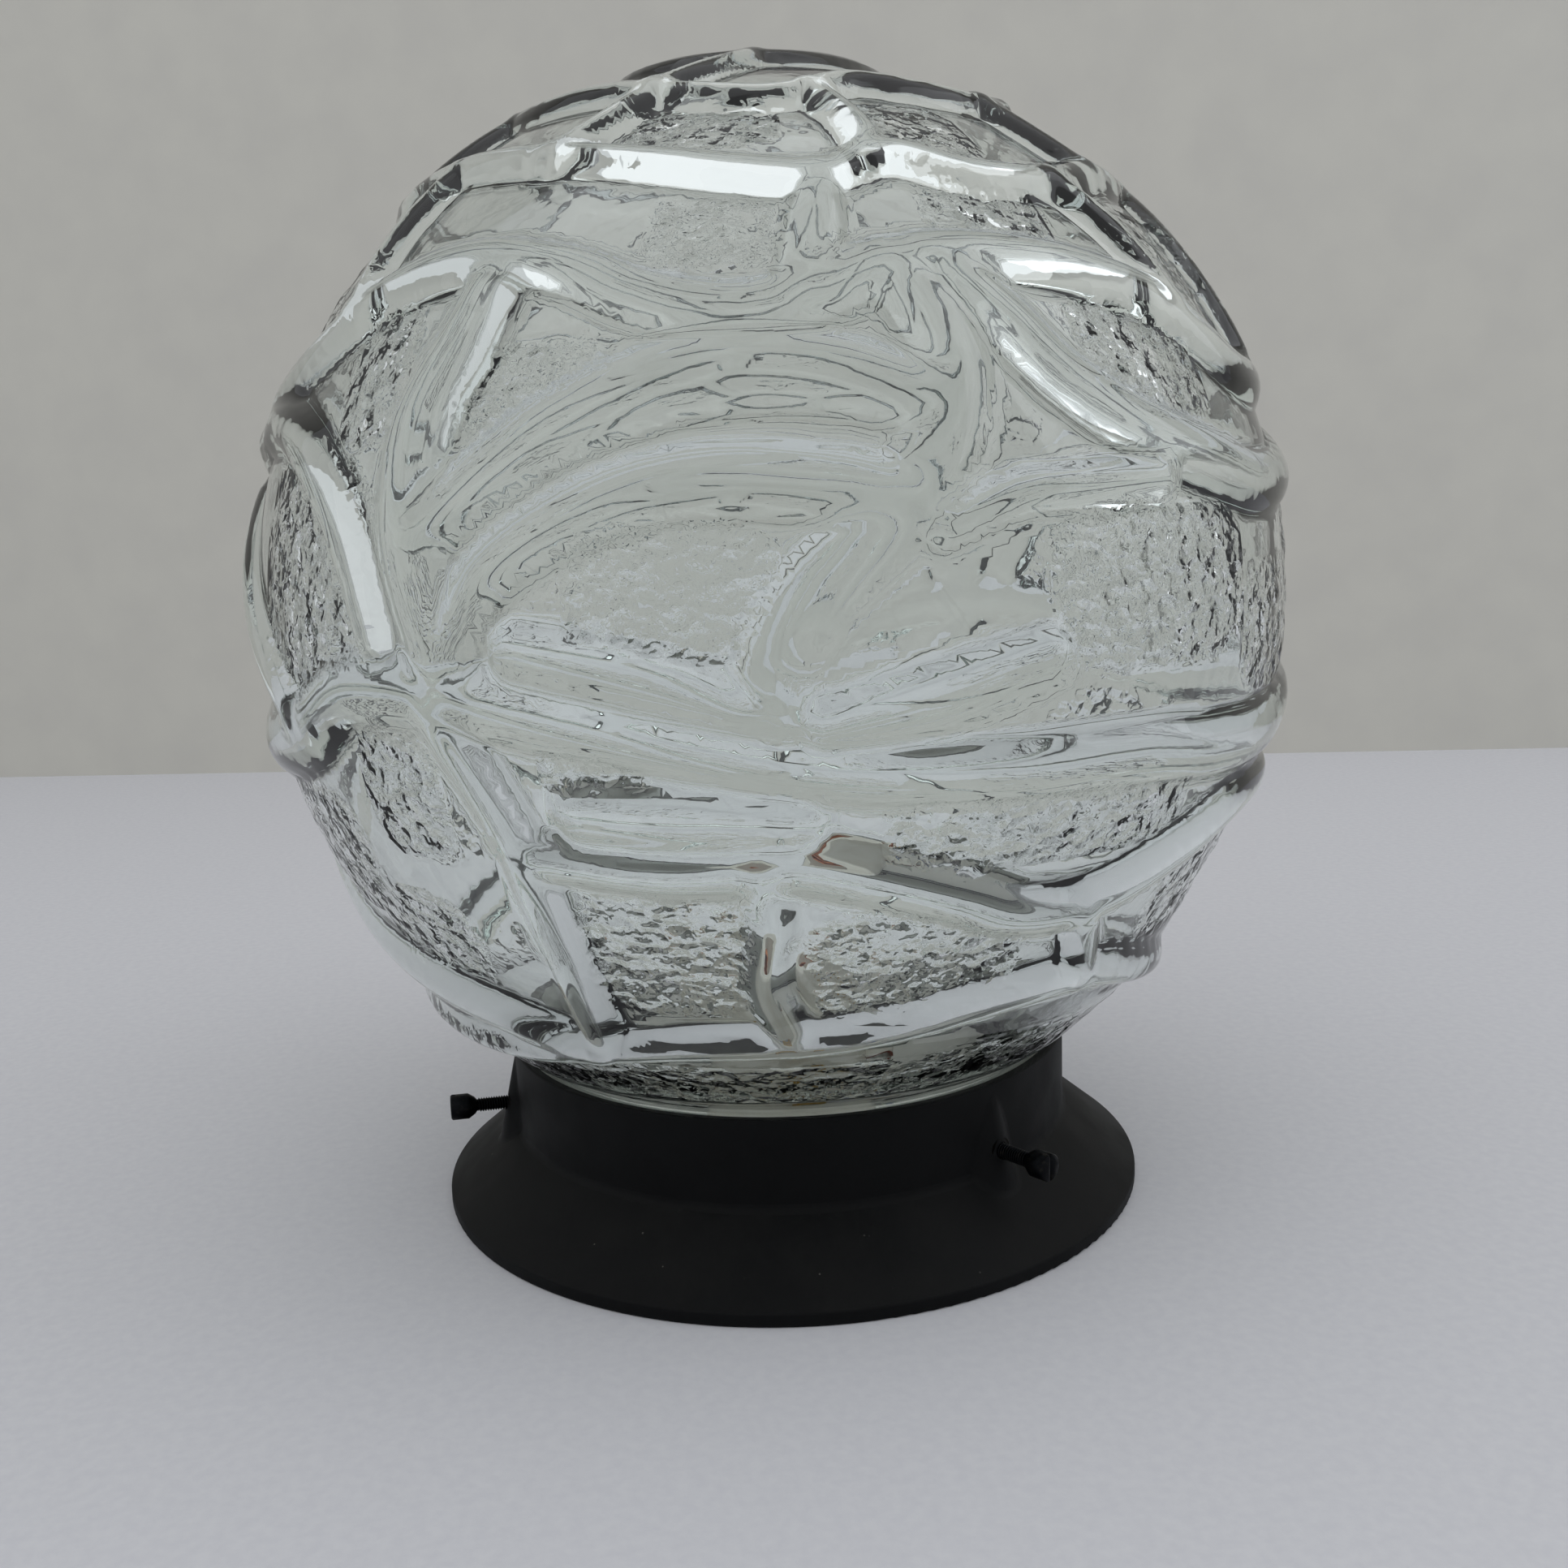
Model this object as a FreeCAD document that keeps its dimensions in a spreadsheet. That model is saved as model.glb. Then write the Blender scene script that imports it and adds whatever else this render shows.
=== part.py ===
"""Ceiling lamp stood on its base: a glass globe held in a moulded canopy by three thumbscrews.

The origin is the centre of the canopy's underside and +Z runs up through the globe.
"""

import FreeCAD, Part

import math
import os
import Sketcher
from FreeCAD import Rotation, Vector

doc = FreeCAD.newDocument("globe_lamp")

# ---------------------------------------------------------------- driving dimensions, millimetres

SIZES = {
    # canopy: flared flange, collar and floor
    "flange_flare": 20.0,
    "lip_height": 3.5,
    "flange_rise": 20.0,
    "cup_gap": 1.8,
    "collar_top": 43.0,
    "collar_wall": 2.5,
    "skirt_wall": 4.0,
    "floor_top": 17.0,
    "floor_wall": 3.0,
    "blend_round": 3.0,
    "lip_round": 0.8,
    "rim_round": 0.6,
    # ceiling fixing through the floor
    "fixing_spacing": 100.0,
    "fixing_hole_r": 2.6,
    "pillar_r": 5.5,
    "pillar_gap": 0.5,
    # three screw bosses on the collar
    "boss_foot_r": 9.0,
    "boss_head_r": 2.7,
    "boss_inset": 3.0,
    "boss_start": 14.0,
    "boss_stop": 1.5,
    "screw_rise": 3.0,
    # M4 thumbscrew with a swivelling tip, in its brass insert
    "shank_r": 1.95,
    "thread_fit": 0.05,
    "clear_hole_gap": 0.25,
    "insert_r": 3.2,
    "insert_length": 4.8,
    "insert_recess": 0.2,
    "thread_length": 11.45,
    "neck_length": 2.4,
    "head_r": 3.5,
    "head_length": 4.8,
    "head_chamfer": 0.4,
    "slot_width": 0.9,
    "slot_depth": 1.4,
    "nose_r": 1.0,
    "nose_length": 1.9,
    "tip_fit": 0.05,
    "tip_length": 3.0,
    "tip_socket": 2.0,
    "tip_gap": 0.05,
    "tip_clearance": 1.2,
    # glass globe
    "globe_r": 136.0,
    "shoulder_gap": 2.7,
    "glass_wall": 3.5,
    "neck_r": 70.5,
    "neck_wall": 3.0,
    "bead_out": 3.2,
    "bead_height": 4.0,
    "bead_round": 1.4,
    "shoulder_round": 8.0,
    # rubber ring under the glass
    "ring_height": 2.0,
    "ring_overhang": 0.6,
    # porcelain lampholder
    "holder_step": 9.0,
    "holder_base_height": 8.0,
    "holder_barrel_r": 23.0,
    "holder_height": 47.0,
    "holder_round": 2.0,
    "shell_r": 13.9,
    "shell_wall": 0.5,
    "shell_length": 25.0,
    "shell_fit": 0.5,
    "seat_rise": 9.0,
    "shell_lip": 5.5,
    "contact_well_margin": 0.5,
    "contact_well_depth": 4.0,
    "contact_wall": 0.5,
    "contact_width": 6.0,
    "contact_end_gap": 2.4,
    "contact_height": 4.3,
    "contact_tongue": 8.0,
    "link_recess": 3.0,
    "link_width": 7.0,
    "link_wall": 0.8,
    "link_fit": 1.5,
    "rivet_r": 1.2,
    "rivet_fit": 0.1,
    "live_rivet_x": 3.0,
    "neutral_rivet_inset": 2.9,
    "rivet_margin": 2.0,
    # pillar terminals on the porcelain base
    "terminal_gap": 0.5,
    "terminal_width": 8.0,
    "terminal_depth": 7.0,
    "terminal_height": 8.0,
    "terminal_bore_r": 1.4,
    "terminal_bore_height": 3.0,
    "terminal_screw_r": 1.5,
    "terminal_screw_head_r": 2.6,
    "terminal_screw_head": 2.0,
    "terminal_stud_r": 1.6,
    # screws that hold the lampholder down
    "holder_screw_r": 2.0,
    "holder_screw_head_r": 3.7,
    "holder_screw_head": 2.8,
    "holder_screw_fit": 0.2,
    "holder_washer_r": 4.1,
    "holder_washer": 0.8,
    "holder_washer_gap": 0.4,
    "holder_nut_flats": 7.0,
    "holder_nut": 3.2,
    "holder_screw_spare": 1.0,
    # two-way connector block under the floor
    "block_x": 46.0,
    "block_length": 17.0,
    "block_width": 18.0,
    "block_height": 11.0,
    "block_pitch": 9.0,
    "block_bore_drop": 5.5,
    "tube_r": 2.3,
    "tube_bore_r": 1.5,
    "tube_length": 14.0,
    "tube_fit": 0.05,
    "clamp_r": 1.2,
    "clamp_well_gap": 0.5,
    "clamp_spacing": 8.0,
    "clamp_sunk": 1.0,
    "clamp_gap": 0.3,
    "block_screw_r": 1.5,
    "block_screw_fit": 0.2,
    "block_screw_head_r": 2.8,
    "block_screw_head": 2.0,
    "block_nut_flats": 5.5,
    "block_nut": 2.4,
    # the two leads between holder and block
    "lead_r": 1.1,
    "core_r": 0.6,
    "lead_run_in": 6.5,
    "lead_upper_turn": 7.0,
    "lead_floor_turn": 5.2,
    "lead_block_turn": 4.0,
    "core_length": 5.0,
    "grommet_bore_gap": 0.2,
    "grommet_wall": 1.3,
    "grommet_lip": 0.7,
    "grommet_flange": 1.0,
    "grommet_gap": 0.2,
    # how far a cut runs past the face it starts from
    "overcut": 1.0,
}

sheet = doc.addObject("Spreadsheet::Sheet", "dim")
for row, (alias, millimetres) in enumerate(SIZES.items(), start=1):
    sheet.set(f"A{row}", alias)
    sheet.set(f"B{row}", str(millimetres))
    sheet.setAlias(f"B{row}", alias)
doc.recompute()

SCREW_AZIMUTHS = {"left": 180, "front": 300, "rear": 60}

ALONG_X = Rotation(Vector(0, 1, 0), 90)
ALONG_MINUS_X = Rotation(Vector(0, 1, 0), -90)

# lengths that several pieces share, written in the sheet's names
BEAD_R = "(dim.neck_r + dim.bead_out)"
CUP_R = f"({BEAD_R} + dim.cup_gap)"
COLLAR_R = f"({CUP_R} + dim.collar_wall)"
FLANGE_R = f"({COLLAR_R} + dim.flange_flare)"
FLOOR_UNDER = "(dim.floor_top - dim.floor_wall)"
NECK_FOOT = "(dim.floor_top + dim.ring_height)"
SHOULDER = "(dim.collar_top + dim.shoulder_gap)"
GLOBE_HEIGHT = f"({SHOULDER} + sqrt(dim.globe_r * dim.globe_r - dim.neck_r * dim.neck_r))"
SCREW_HEIGHT = f"({NECK_FOOT} + dim.bead_height + dim.screw_rise)"
BORE_R = "(dim.shank_r + dim.thread_fit)"
CLEAR_HOLE_R = "(dim.shank_r + dim.clear_hole_gap)"
TIP_R = "(dim.shank_r - dim.tip_fit)"
TIP_START = f"({BEAD_R} + dim.tip_clearance)"
SHANK_START = f"({TIP_START} + dim.tip_length + dim.tip_gap)"
SHANK_END = f"({SHANK_START} + dim.thread_length)"
BASE_TOP = "(dim.floor_top + dim.holder_base_height)"
HOLDER_R = "(dim.holder_barrel_r + dim.holder_step)"
HOLDER_TOP = "(dim.floor_top + dim.holder_height)"
HOLDER_SCREW_X = "(dim.holder_barrel_r + dim.holder_washer_gap + dim.holder_washer_r)"
HOLDER_SCREW_HOLE_R = "(dim.holder_screw_r + dim.holder_screw_fit)"
LINK_TOP = "(dim.floor_top + dim.link_recess)"
SHELL_SEAT = f"({BASE_TOP} + dim.seat_rise)"
SHELL_INNER = "(dim.shell_r - dim.shell_wall)"
WELL_R = f"({SHELL_INNER} - dim.shell_lip + dim.contact_well_margin)"
WELL_FLOOR = f"({SHELL_SEAT} - dim.contact_well_depth)"
RIVET_HOLE_R = "(dim.rivet_r + dim.rivet_fit)"
STUD_HOLE_R = "(dim.terminal_stud_r + dim.rivet_fit)"
NEUTRAL_Y = "(dim.shell_r - dim.neutral_rivet_inset)"
BLOCK_BORE = f"({FLOOR_UNDER} - dim.block_bore_drop)"
BLOCK_FOOT = f"({FLOOR_UNDER} - dim.block_height)"
CLAMP_WELL_R = "(dim.clamp_r + dim.clamp_well_gap)"
BLOCK_SCREW_HOLE_R = "(dim.block_screw_r + dim.block_screw_fit)"
TERMINAL_Y = "(dim.holder_barrel_r + dim.terminal_gap + dim.terminal_depth / 2)"
TERMINAL_BORE = f"({BASE_TOP} + dim.terminal_bore_height)"
GROMMET_BORE_R = "(dim.lead_r + dim.grommet_bore_gap)"
GROMMET_HOLE_R = f"({GROMMET_BORE_R} + dim.grommet_wall)"
GROMMET_FLANGE_R = f"({GROMMET_HOLE_R} + dim.grommet_lip)"
LEAD_HOLE_R = f"({HOLDER_R} + {GROMMET_FLANGE_R} + dim.grommet_gap)"
LEAD_HOLE_X = f"sqrt({LEAD_HOLE_R} * {LEAD_HOLE_R} - {TERMINAL_Y} * {TERMINAL_Y})"


# ---------------------------------------------------------------- ways of making a piece


def value(expression):
    """A length written in the sheet's names, as a number of millimetres."""
    result = sheet.evalExpression(expression)
    return float(getattr(result, "Value", result))


def new_body(label):
    body = doc.addObject("PartDesign::Body", label)
    body.Label = label
    return body


def origin_part(body, role):
    return next(part for part in body.Origin.OriginFeatures if part.Role == role)


def place_point(sketch, geometry, end, at_x, at_y):
    """Tie one point of a sketch to a place given by two expressions."""
    for kind, axis, size in (("DistanceX", -2, at_x), ("DistanceY", -1, at_y)):
        if size == "0":
            sketch.addConstraint(Sketcher.Constraint("PointOnObject", geometry, end, axis))
        else:
            tie = Sketcher.Constraint(kind, -1, 1, geometry, end, value(size))
            number = sketch.addConstraint(tie)
            sketch.setExpression(f"Constraints[{number}]", size)


def new_sketch(body, name, role, outlines=(), circles=(), lift="0"):
    """A sketch of closed straight outlines and (x, y, radius) circles, raised off its plane by lift."""
    sketch = body.newObject("Sketcher::SketchObject", f"{body.Label}_{name}_sketch")
    sketch.AttachmentSupport = [(origin_part(body, role), "")]
    sketch.MapMode = "FlatFace"
    for corners in outlines:
        first = sketch.GeometryCount
        count = len(corners)
        spots = [Vector(value(x), value(y), 0) for x, y in corners]
        for start, stop in zip(spots, spots[1:] + spots[:1]):
            sketch.addGeometry(Part.LineSegment(start, stop))
        for i in range(count):
            link = Sketcher.Constraint("Coincident", first + i, 2, first + (i + 1) % count, 1)
            sketch.addConstraint(link)
        for i, (x, y) in enumerate(corners):
            place_point(sketch, first + i, 1, x, y)
    for x, y, radius in circles:
        middle = Vector(value(x), value(y), 0)
        number = sketch.addGeometry(Part.Circle(middle, Vector(0, 0, 1), value(radius)))
        place_point(sketch, number, 3, x, y)
        size = sketch.addConstraint(Sketcher.Constraint("Radius", number, value(radius)))
        sketch.setExpression(f"Constraints[{size}]", radius)
    if lift != "0":
        sketch.setExpression("AttachmentOffset.Base.z", lift)
    return sketch


def turned(body, name, corners, axis="V_Axis", kind="Revolution"):
    """Turn an outline of (radius, height) corners about Z, or (distance, radius) about X."""
    feature = body.newObject(f"PartDesign::{kind}", f"{body.Label}_{name}")
    feature.Profile = new_sketch(body, name, "XZ_Plane", [corners])
    feature.ReferenceAxis = (feature.Profile[0], [axis])
    feature.Angle = 360
    return feature


def padded(body, name, lift, height, outlines=(), circles=()):
    """Raise outlines and circles from the height lift by the given height."""
    feature = body.newObject("PartDesign::Pad", f"{body.Label}_{name}")
    feature.Profile = new_sketch(body, name, "XY_Plane", outlines, circles, lift)
    feature.setExpression("Length", height)
    return feature


def pocketed(body, name, lift, depth, outlines=(), circles=()):
    """Cut outlines and circles downwards from the height lift to the given depth."""
    doc.recompute()
    before = body.Shape.Volume
    feature = body.newObject("PartDesign::Pocket", f"{body.Label}_{name}")
    feature.Profile = new_sketch(body, name, "XY_Plane", outlines, circles, lift)
    feature.setExpression("Length", depth)
    doc.recompute()
    if body.Shape.Volume >= before:
        raise ValueError(f"{feature.Name} cuts nothing")
    return feature


def repeated(body, name, features, count):
    """Repeat features evenly about Z."""
    pattern = body.newObject("PartDesign::PolarPattern", f"{body.Label}_{name}")
    pattern.Originals = features
    pattern.Axis = (origin_part(body, "Z_Axis"), [""])
    pattern.Angle = 360
    pattern.Occurrences = count
    body.Tip = pattern
    return pattern


def drilled(body, name, start, length, radius, height, side="0", turn=ALONG_X):
    """Cut a round hole along X, or against it, that starts at a place on X."""
    hole = body.newObject("PartDesign::SubtractiveCylinder", f"{body.Label}_{name}")
    hole.setExpression("Radius", radius)
    hole.setExpression("Height", length)
    hole.Placement.Rotation = turn
    hole.setExpression("Placement.Base.x", start)
    hole.setExpression("Placement.Base.y", side)
    hole.setExpression("Placement.Base.z", height)
    return hole


def rim_edges(feature, radius, height):
    """The names of a feature's whole circles about Z with this radius and height."""
    found = []
    for number, edge in enumerate(feature.Shape.Edges, start=1):
        if edge.Degenerated or not isinstance(edge.Curve, Part.Circle):
            continue
        if abs(edge.Curve.Radius - value(radius)) > 0.01:
            continue
        middle = edge.Curve.Center
        if abs(middle.z - value(height)) < 0.01 and Vector(middle.x, middle.y, 0).Length < 0.01:
            found.append(f"Edge{number}")
    if not found:
        raise ValueError(f"{feature.Name} has no edge of radius {radius} at {height}")
    return found


def rounded(body, name, rims, radius):
    """Round the circles about Z that rims gives as (radius, height) pairs."""
    doc.recompute()
    base = body.Tip
    edges = [edge for rim in rims for edge in rim_edges(base, *rim)]
    fillet = body.newObject("PartDesign::Fillet", f"{body.Label}_{name}")
    fillet.Base = (base, edges)
    fillet.setExpression("Radius", radius)
    return fillet


def box_outline(left, right, low, high):
    return [(left, low), (right, low), (right, high), (left, high)]


def hexagon(middle_x, flats):
    """A hexagon of this width across its flats, with a point on each side along X."""
    tall = f"{flats} / 2"
    wide = f"{flats} / sqrt(3)"
    slant = f"{flats} / sqrt(12)"
    return [
        (f"{middle_x} + {wide}", "0"),
        (f"{middle_x} + {slant}", tall),
        (f"{middle_x} - {slant}", tall),
        (f"{middle_x} - {wide}", "0"),
        (f"{middle_x} - {slant}", f"-{tall}"),
        (f"{middle_x} + {slant}", f"-{tall}"),
    ]


# ---------------------------------------------------------------- canopy


def blend_edges(feature):
    """The curved edges above the lip and below the rim: where flange, collar and bosses meet."""
    low = value("dim.lip_height + dim.rim_round")
    high = value("dim.collar_top - dim.rim_round")
    found = []
    for number, edge in enumerate(feature.Shape.Edges, start=1):
        inside = low < edge.BoundBox.ZMin and edge.BoundBox.ZMax < high
        if inside and not isinstance(edge.Curve, Part.Line):
            found.append(f"Edge{number}")
    return found


def make_canopy():
    """The moulded base: a flared flange, a collar that takes the glass, and a floor between them."""
    body = new_body("canopy")
    outer = [
        ("0", "0"),
        (FLANGE_R, "0"),
        (FLANGE_R, "dim.lip_height"),
        (COLLAR_R, "dim.flange_rise"),
        (COLLAR_R, "dim.collar_top"),
        ("0", "dim.collar_top"),
    ]
    turned(body, "form", outer)
    doc.recompute()
    boss = body.newObject("PartDesign::AdditiveCone", "canopy_boss")
    boss.setExpression("Radius1", "dim.boss_foot_r")
    boss.setExpression("Radius2", "dim.boss_head_r")
    boss.setExpression("Height", "dim.collar_top - dim.boss_stop - dim.boss_start")
    boss.setExpression("Placement.Base.x", f"dim.boss_inset - {COLLAR_R}")
    boss.setExpression("Placement.Base.z", "dim.boss_start")
    doc.recompute()
    bosses = repeated(body, "bosses", [boss], len(SCREW_AZIMUTHS))
    doc.recompute()
    blend = body.newObject("PartDesign::Fillet", "canopy_blend")
    blend.Base = (bosses, blend_edges(bosses))
    blend.setExpression("Radius", "dim.blend_round")
    lip = [(FLANGE_R, "0"), (FLANGE_R, "dim.lip_height")]
    rounded(body, "lip", lip, "dim.lip_round")

    above = "dim.collar_top + dim.overcut"
    cup = [("0", "dim.floor_top"), (CUP_R, "dim.floor_top"), (CUP_R, above), ("0", above)]
    turned(body, "cup", cup, kind="Groove")
    slope = f"({FLANGE_R} - {COLLAR_R}) / (dim.flange_rise - dim.lip_height)"
    climb = f"({FLOOR_UNDER} - dim.lip_height)"
    back = [
        ("0", "0"),
        (f"{FLANGE_R} - dim.skirt_wall", "0"),
        (f"{FLANGE_R} - dim.skirt_wall", "dim.lip_height"),
        (f"{FLANGE_R} - dim.skirt_wall - {climb} * {slope}", FLOOR_UNDER),
        ("0", FLOOR_UNDER),
    ]
    turned(body, "back", back, kind="Groove")
    rims = [(COLLAR_R, "dim.collar_top"), (CUP_R, "dim.collar_top")]
    rounded(body, "rim", rims, "dim.rim_round")

    fixing_y = "dim.fixing_spacing / 2"
    pillar = [("0", fixing_y, "dim.pillar_r"), ("0", f"-{fixing_y}", "dim.pillar_r")]
    padded(body, "pillars", "dim.pillar_gap", f"{FLOOR_UNDER} - dim.pillar_gap", circles=pillar)
    holes = [
        ("0", fixing_y, "dim.fixing_hole_r"),
        ("0", f"-{fixing_y}", "dim.fixing_hole_r"),
        (HOLDER_SCREW_X, "0", HOLDER_SCREW_HOLE_R),
        (f"-{HOLDER_SCREW_X}", "0", HOLDER_SCREW_HOLE_R),
        (LEAD_HOLE_X, TERMINAL_Y, GROMMET_HOLE_R),
        (LEAD_HOLE_X, f"-{TERMINAL_Y}", GROMMET_HOLE_R),
        ("dim.block_x", "0", BLOCK_SCREW_HOLE_R),
    ]
    pocketed(body, "holes", "dim.floor_top", "dim.floor_top", circles=holes)

    start = f"dim.overcut - {CUP_R}"
    through = "2 * dim.overcut + dim.collar_wall + dim.boss_foot_r"
    seat = "dim.overcut + dim.insert_recess + dim.insert_length"
    hole = drilled(body, "hole", start, through, CLEAR_HOLE_R, SCREW_HEIGHT, turn=ALONG_MINUS_X)
    bush = drilled(body, "seat", start, seat, "dim.insert_r", SCREW_HEIGHT, turn=ALONG_MINUS_X)
    repeated(body, "screw_holes", [hole, bush], len(SCREW_AZIMUTHS))


# ---------------------------------------------------------------- thumbscrews


def aim(body, azimuth):
    """Turn a piece made along X to its place round the collar, at the screws' height."""
    body.Placement.Rotation = Rotation(Vector(0, 0, 1), azimuth)
    body.setExpression("Placement.Base.z", SCREW_HEIGHT)


def make_screw_inserts():
    """Three brass bushes pressed into the bosses from inside, tapped for the thumbscrews."""
    body = new_body("screw_inserts")
    inner = f"({CUP_R} + dim.insert_recess)"
    outer = f"{inner} + dim.insert_length"
    bush = turned(body, "form", box_outline(inner, outer, BORE_R, "dim.insert_r"), axis="H_Axis")
    doc.recompute()
    repeated(body, "set", [bush], len(SCREW_AZIMUTHS))
    aim(body, SCREW_AZIMUTHS["rear"])


def make_thumbscrew(side, azimuth):
    """A brass M4 screw with a slotted round head and a thin nose that carries the soft tip."""
    body = new_body(f"thumbscrew_{side}")
    nose = f"{SHANK_START} - dim.nose_length"
    head = f"{SHANK_END} + dim.neck_length"
    end = f"{head} + dim.head_length"
    outline = [
        (nose, "0"),
        (nose, "dim.nose_r"),
        (SHANK_START, "dim.nose_r"),
        (SHANK_START, "dim.shank_r"),
        (SHANK_END, "dim.shank_r"),
        (head, "dim.head_r"),
        (f"{end} - dim.head_chamfer", "dim.head_r"),
        (end, "dim.head_r - dim.head_chamfer"),
        (end, "0"),
    ]
    turned(body, "form", outline, axis="H_Axis")
    slot = body.newObject("PartDesign::SubtractiveBox", f"{body.Label}_slot")
    slot.setExpression("Length", "dim.slot_depth + dim.overcut")
    slot.setExpression("Width", "dim.slot_width")
    slot.setExpression("Height", "2 * (dim.head_r + dim.overcut)")
    slot.setExpression("Placement.Base.x", f"{end} - dim.slot_depth")
    slot.setExpression("Placement.Base.y", "-dim.slot_width / 2")
    slot.setExpression("Placement.Base.z", "-dim.head_r - dim.overcut")
    aim(body, azimuth)


def make_screw_tip(side, azimuth):
    """A soft plastic tip that snaps over the screw's nose and stays still against the glass."""
    body = new_body(f"screw_tip_{side}")
    back = f"{TIP_START} + dim.tip_length"
    socket_r = "dim.nose_r + dim.tip_gap"
    outline = [
        (TIP_START, "0"),
        (TIP_START, TIP_R),
        (back, TIP_R),
        (back, socket_r),
        (f"{back} - dim.tip_socket", socket_r),
        (f"{back} - dim.tip_socket", "0"),
    ]
    turned(body, "form", outline, axis="H_Axis")
    aim(body, azimuth)


# ---------------------------------------------------------------- glass and its ring


def solid_of(kind, name, **sizes):
    """A Part primitive whose sizes, and height off the floor as lift, are expressions."""
    solid = doc.addObject(f"Part::{kind}", name)
    lift = sizes.pop("lift")
    for key, size in sizes.items():
        solid.setExpression(key, size)
    solid.setExpression("Placement.Base.z", lift)
    return solid


def joined(name, pieces):
    fuse = doc.addObject("Part::MultiFuse", name)
    fuse.Shapes = pieces
    doc.recompute()
    return fuse


def rounded_rims(name, base, rims):
    """Part fillets on circles about Z, each given as (radius, height, round)."""
    fillet = doc.addObject("Part::Fillet", name)
    fillet.Base = base
    edges = []
    for radius, height, size in rims:
        for edge in rim_edges(base, radius, height):
            edges.append((int(edge[4:]), value(size), value(size)))
    fillet.Edges = edges
    doc.recompute()
    return fillet


def make_glass_globe():
    """A blown globe with a waisted neck, which ends in a bead that the screws catch under."""
    bore_r = "(dim.neck_r - dim.neck_wall)"
    inner_r = "(dim.globe_r - dim.glass_wall)"
    reach = f"{GLOBE_HEIGHT} - {NECK_FOOT}"
    inner_meet = f"{GLOBE_HEIGHT} - sqrt({inner_r} * {inner_r} - {bore_r} * {bore_r})"
    ball = solid_of("Sphere", "globe_ball", Radius="dim.globe_r", lift=GLOBE_HEIGHT)
    neck = solid_of("Cylinder", "globe_neck", Radius="dim.neck_r", Height=reach, lift=NECK_FOOT)
    bead = solid_of("Cylinder", "globe_bead", Radius=BEAD_R, Height="dim.bead_height", lift=NECK_FOOT)
    outside = rounded_rims("globe_outside", joined("globe_outer", [ball, neck, bead]), [
        ("dim.neck_r", SHOULDER, "dim.shoulder_round"),
        (BEAD_R, NECK_FOOT, "dim.bead_round"),
        (BEAD_R, f"{NECK_FOOT} + dim.bead_height", "dim.bead_round"),
        ("dim.neck_r", f"{NECK_FOOT} + dim.bead_height", "dim.bead_round"),
    ])
    hollow = solid_of("Sphere", "globe_hollow", Radius=inner_r, lift=GLOBE_HEIGHT)
    bore_length = f"{GLOBE_HEIGHT} + dim.overcut"
    bore = solid_of("Cylinder", "globe_bore", Radius=bore_r, Height=bore_length, lift="-dim.overcut")
    inside = rounded_rims("globe_inside", joined("globe_inner", [hollow, bore]), [
        (bore_r, inner_meet, "dim.shoulder_round + dim.neck_wall"),
    ])
    glass = doc.addObject("Part::Cut", "glass_globe")
    glass.Base = outside
    glass.Tool = inside
    return glass


def make_neck_ring():
    """A flat rubber ring on the canopy's floor, which the glass stands on."""
    body = new_body("neck_ring")
    outer = ("0", "0", f"{BEAD_R} + dim.ring_overhang")
    inner = ("0", "0", "dim.neck_r - dim.neck_wall - dim.ring_overhang")
    padded(body, "form", "dim.floor_top", "dim.ring_height", circles=[outer, inner])


# ---------------------------------------------------------------- lampholder


def make_holder_body():
    """The glazed porcelain: a round base, a barrel for the screw shell, and recesses below."""
    body = new_body("lampholder_body")
    cavity_r = "dim.shell_r + dim.shell_fit"
    outline = [
        ("0", "dim.floor_top"),
        (HOLDER_R, "dim.floor_top"),
        (HOLDER_R, BASE_TOP),
        ("dim.holder_barrel_r", BASE_TOP),
        ("dim.holder_barrel_r", HOLDER_TOP),
        (cavity_r, HOLDER_TOP),
        (cavity_r, SHELL_SEAT),
        (WELL_R, SHELL_SEAT),
        (WELL_R, WELL_FLOOR),
        ("0", WELL_FLOOR),
    ]
    turned(body, "form", outline)
    rims = [(HOLDER_R, BASE_TOP), ("dim.holder_barrel_r", HOLDER_TOP)]
    rounded(body, "edges", rims, "dim.holder_round")
    half = "(dim.link_width / 2 + dim.link_fit)"
    end = f"{TERMINAL_Y} + dim.terminal_stud_r + dim.rivet_margin"
    recess = box_outline(f"-{half}", half, f"-({end})", end)
    pocketed(body, "recess", LINK_TOP, "dim.link_recess + dim.overcut", outlines=[recess])
    studs = [("0", TERMINAL_Y, STUD_HOLE_R), ("0", f"-{TERMINAL_Y}", STUD_HOLE_R)]
    screws = [(x, "0", HOLDER_SCREW_HOLE_R) for x in (HOLDER_SCREW_X, f"-{HOLDER_SCREW_X}")]
    rivets = [("-dim.live_rivet_x", "0", RIVET_HOLE_R), ("0", f"-{NEUTRAL_Y}", RIVET_HOLE_R)]
    holes = studs + screws + rivets
    pocketed(body, "holes", SHELL_SEAT, SHELL_SEAT, circles=holes)


def make_socket_shell():
    """The brass shell that the lamp cap screws into, with a foot that is riveted to the porcelain."""
    body = new_body("socket_shell")
    foot_top = f"({SHELL_SEAT} + dim.shell_wall)"
    top = f"({SHELL_SEAT} + dim.shell_length)"
    outline = [
        (f"{SHELL_INNER} - dim.shell_lip", SHELL_SEAT),
        ("dim.shell_r", SHELL_SEAT),
        ("dim.shell_r", top),
        (SHELL_INNER, top),
        (SHELL_INNER, foot_top),
        (f"{SHELL_INNER} - dim.shell_lip", foot_top),
    ]
    turned(body, "form", outline)
    hole = [("0", f"-{NEUTRAL_Y}", RIVET_HOLE_R)]
    pocketed(body, "rivet_hole", foot_top, "dim.shell_wall + dim.overcut", circles=hole)


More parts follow.
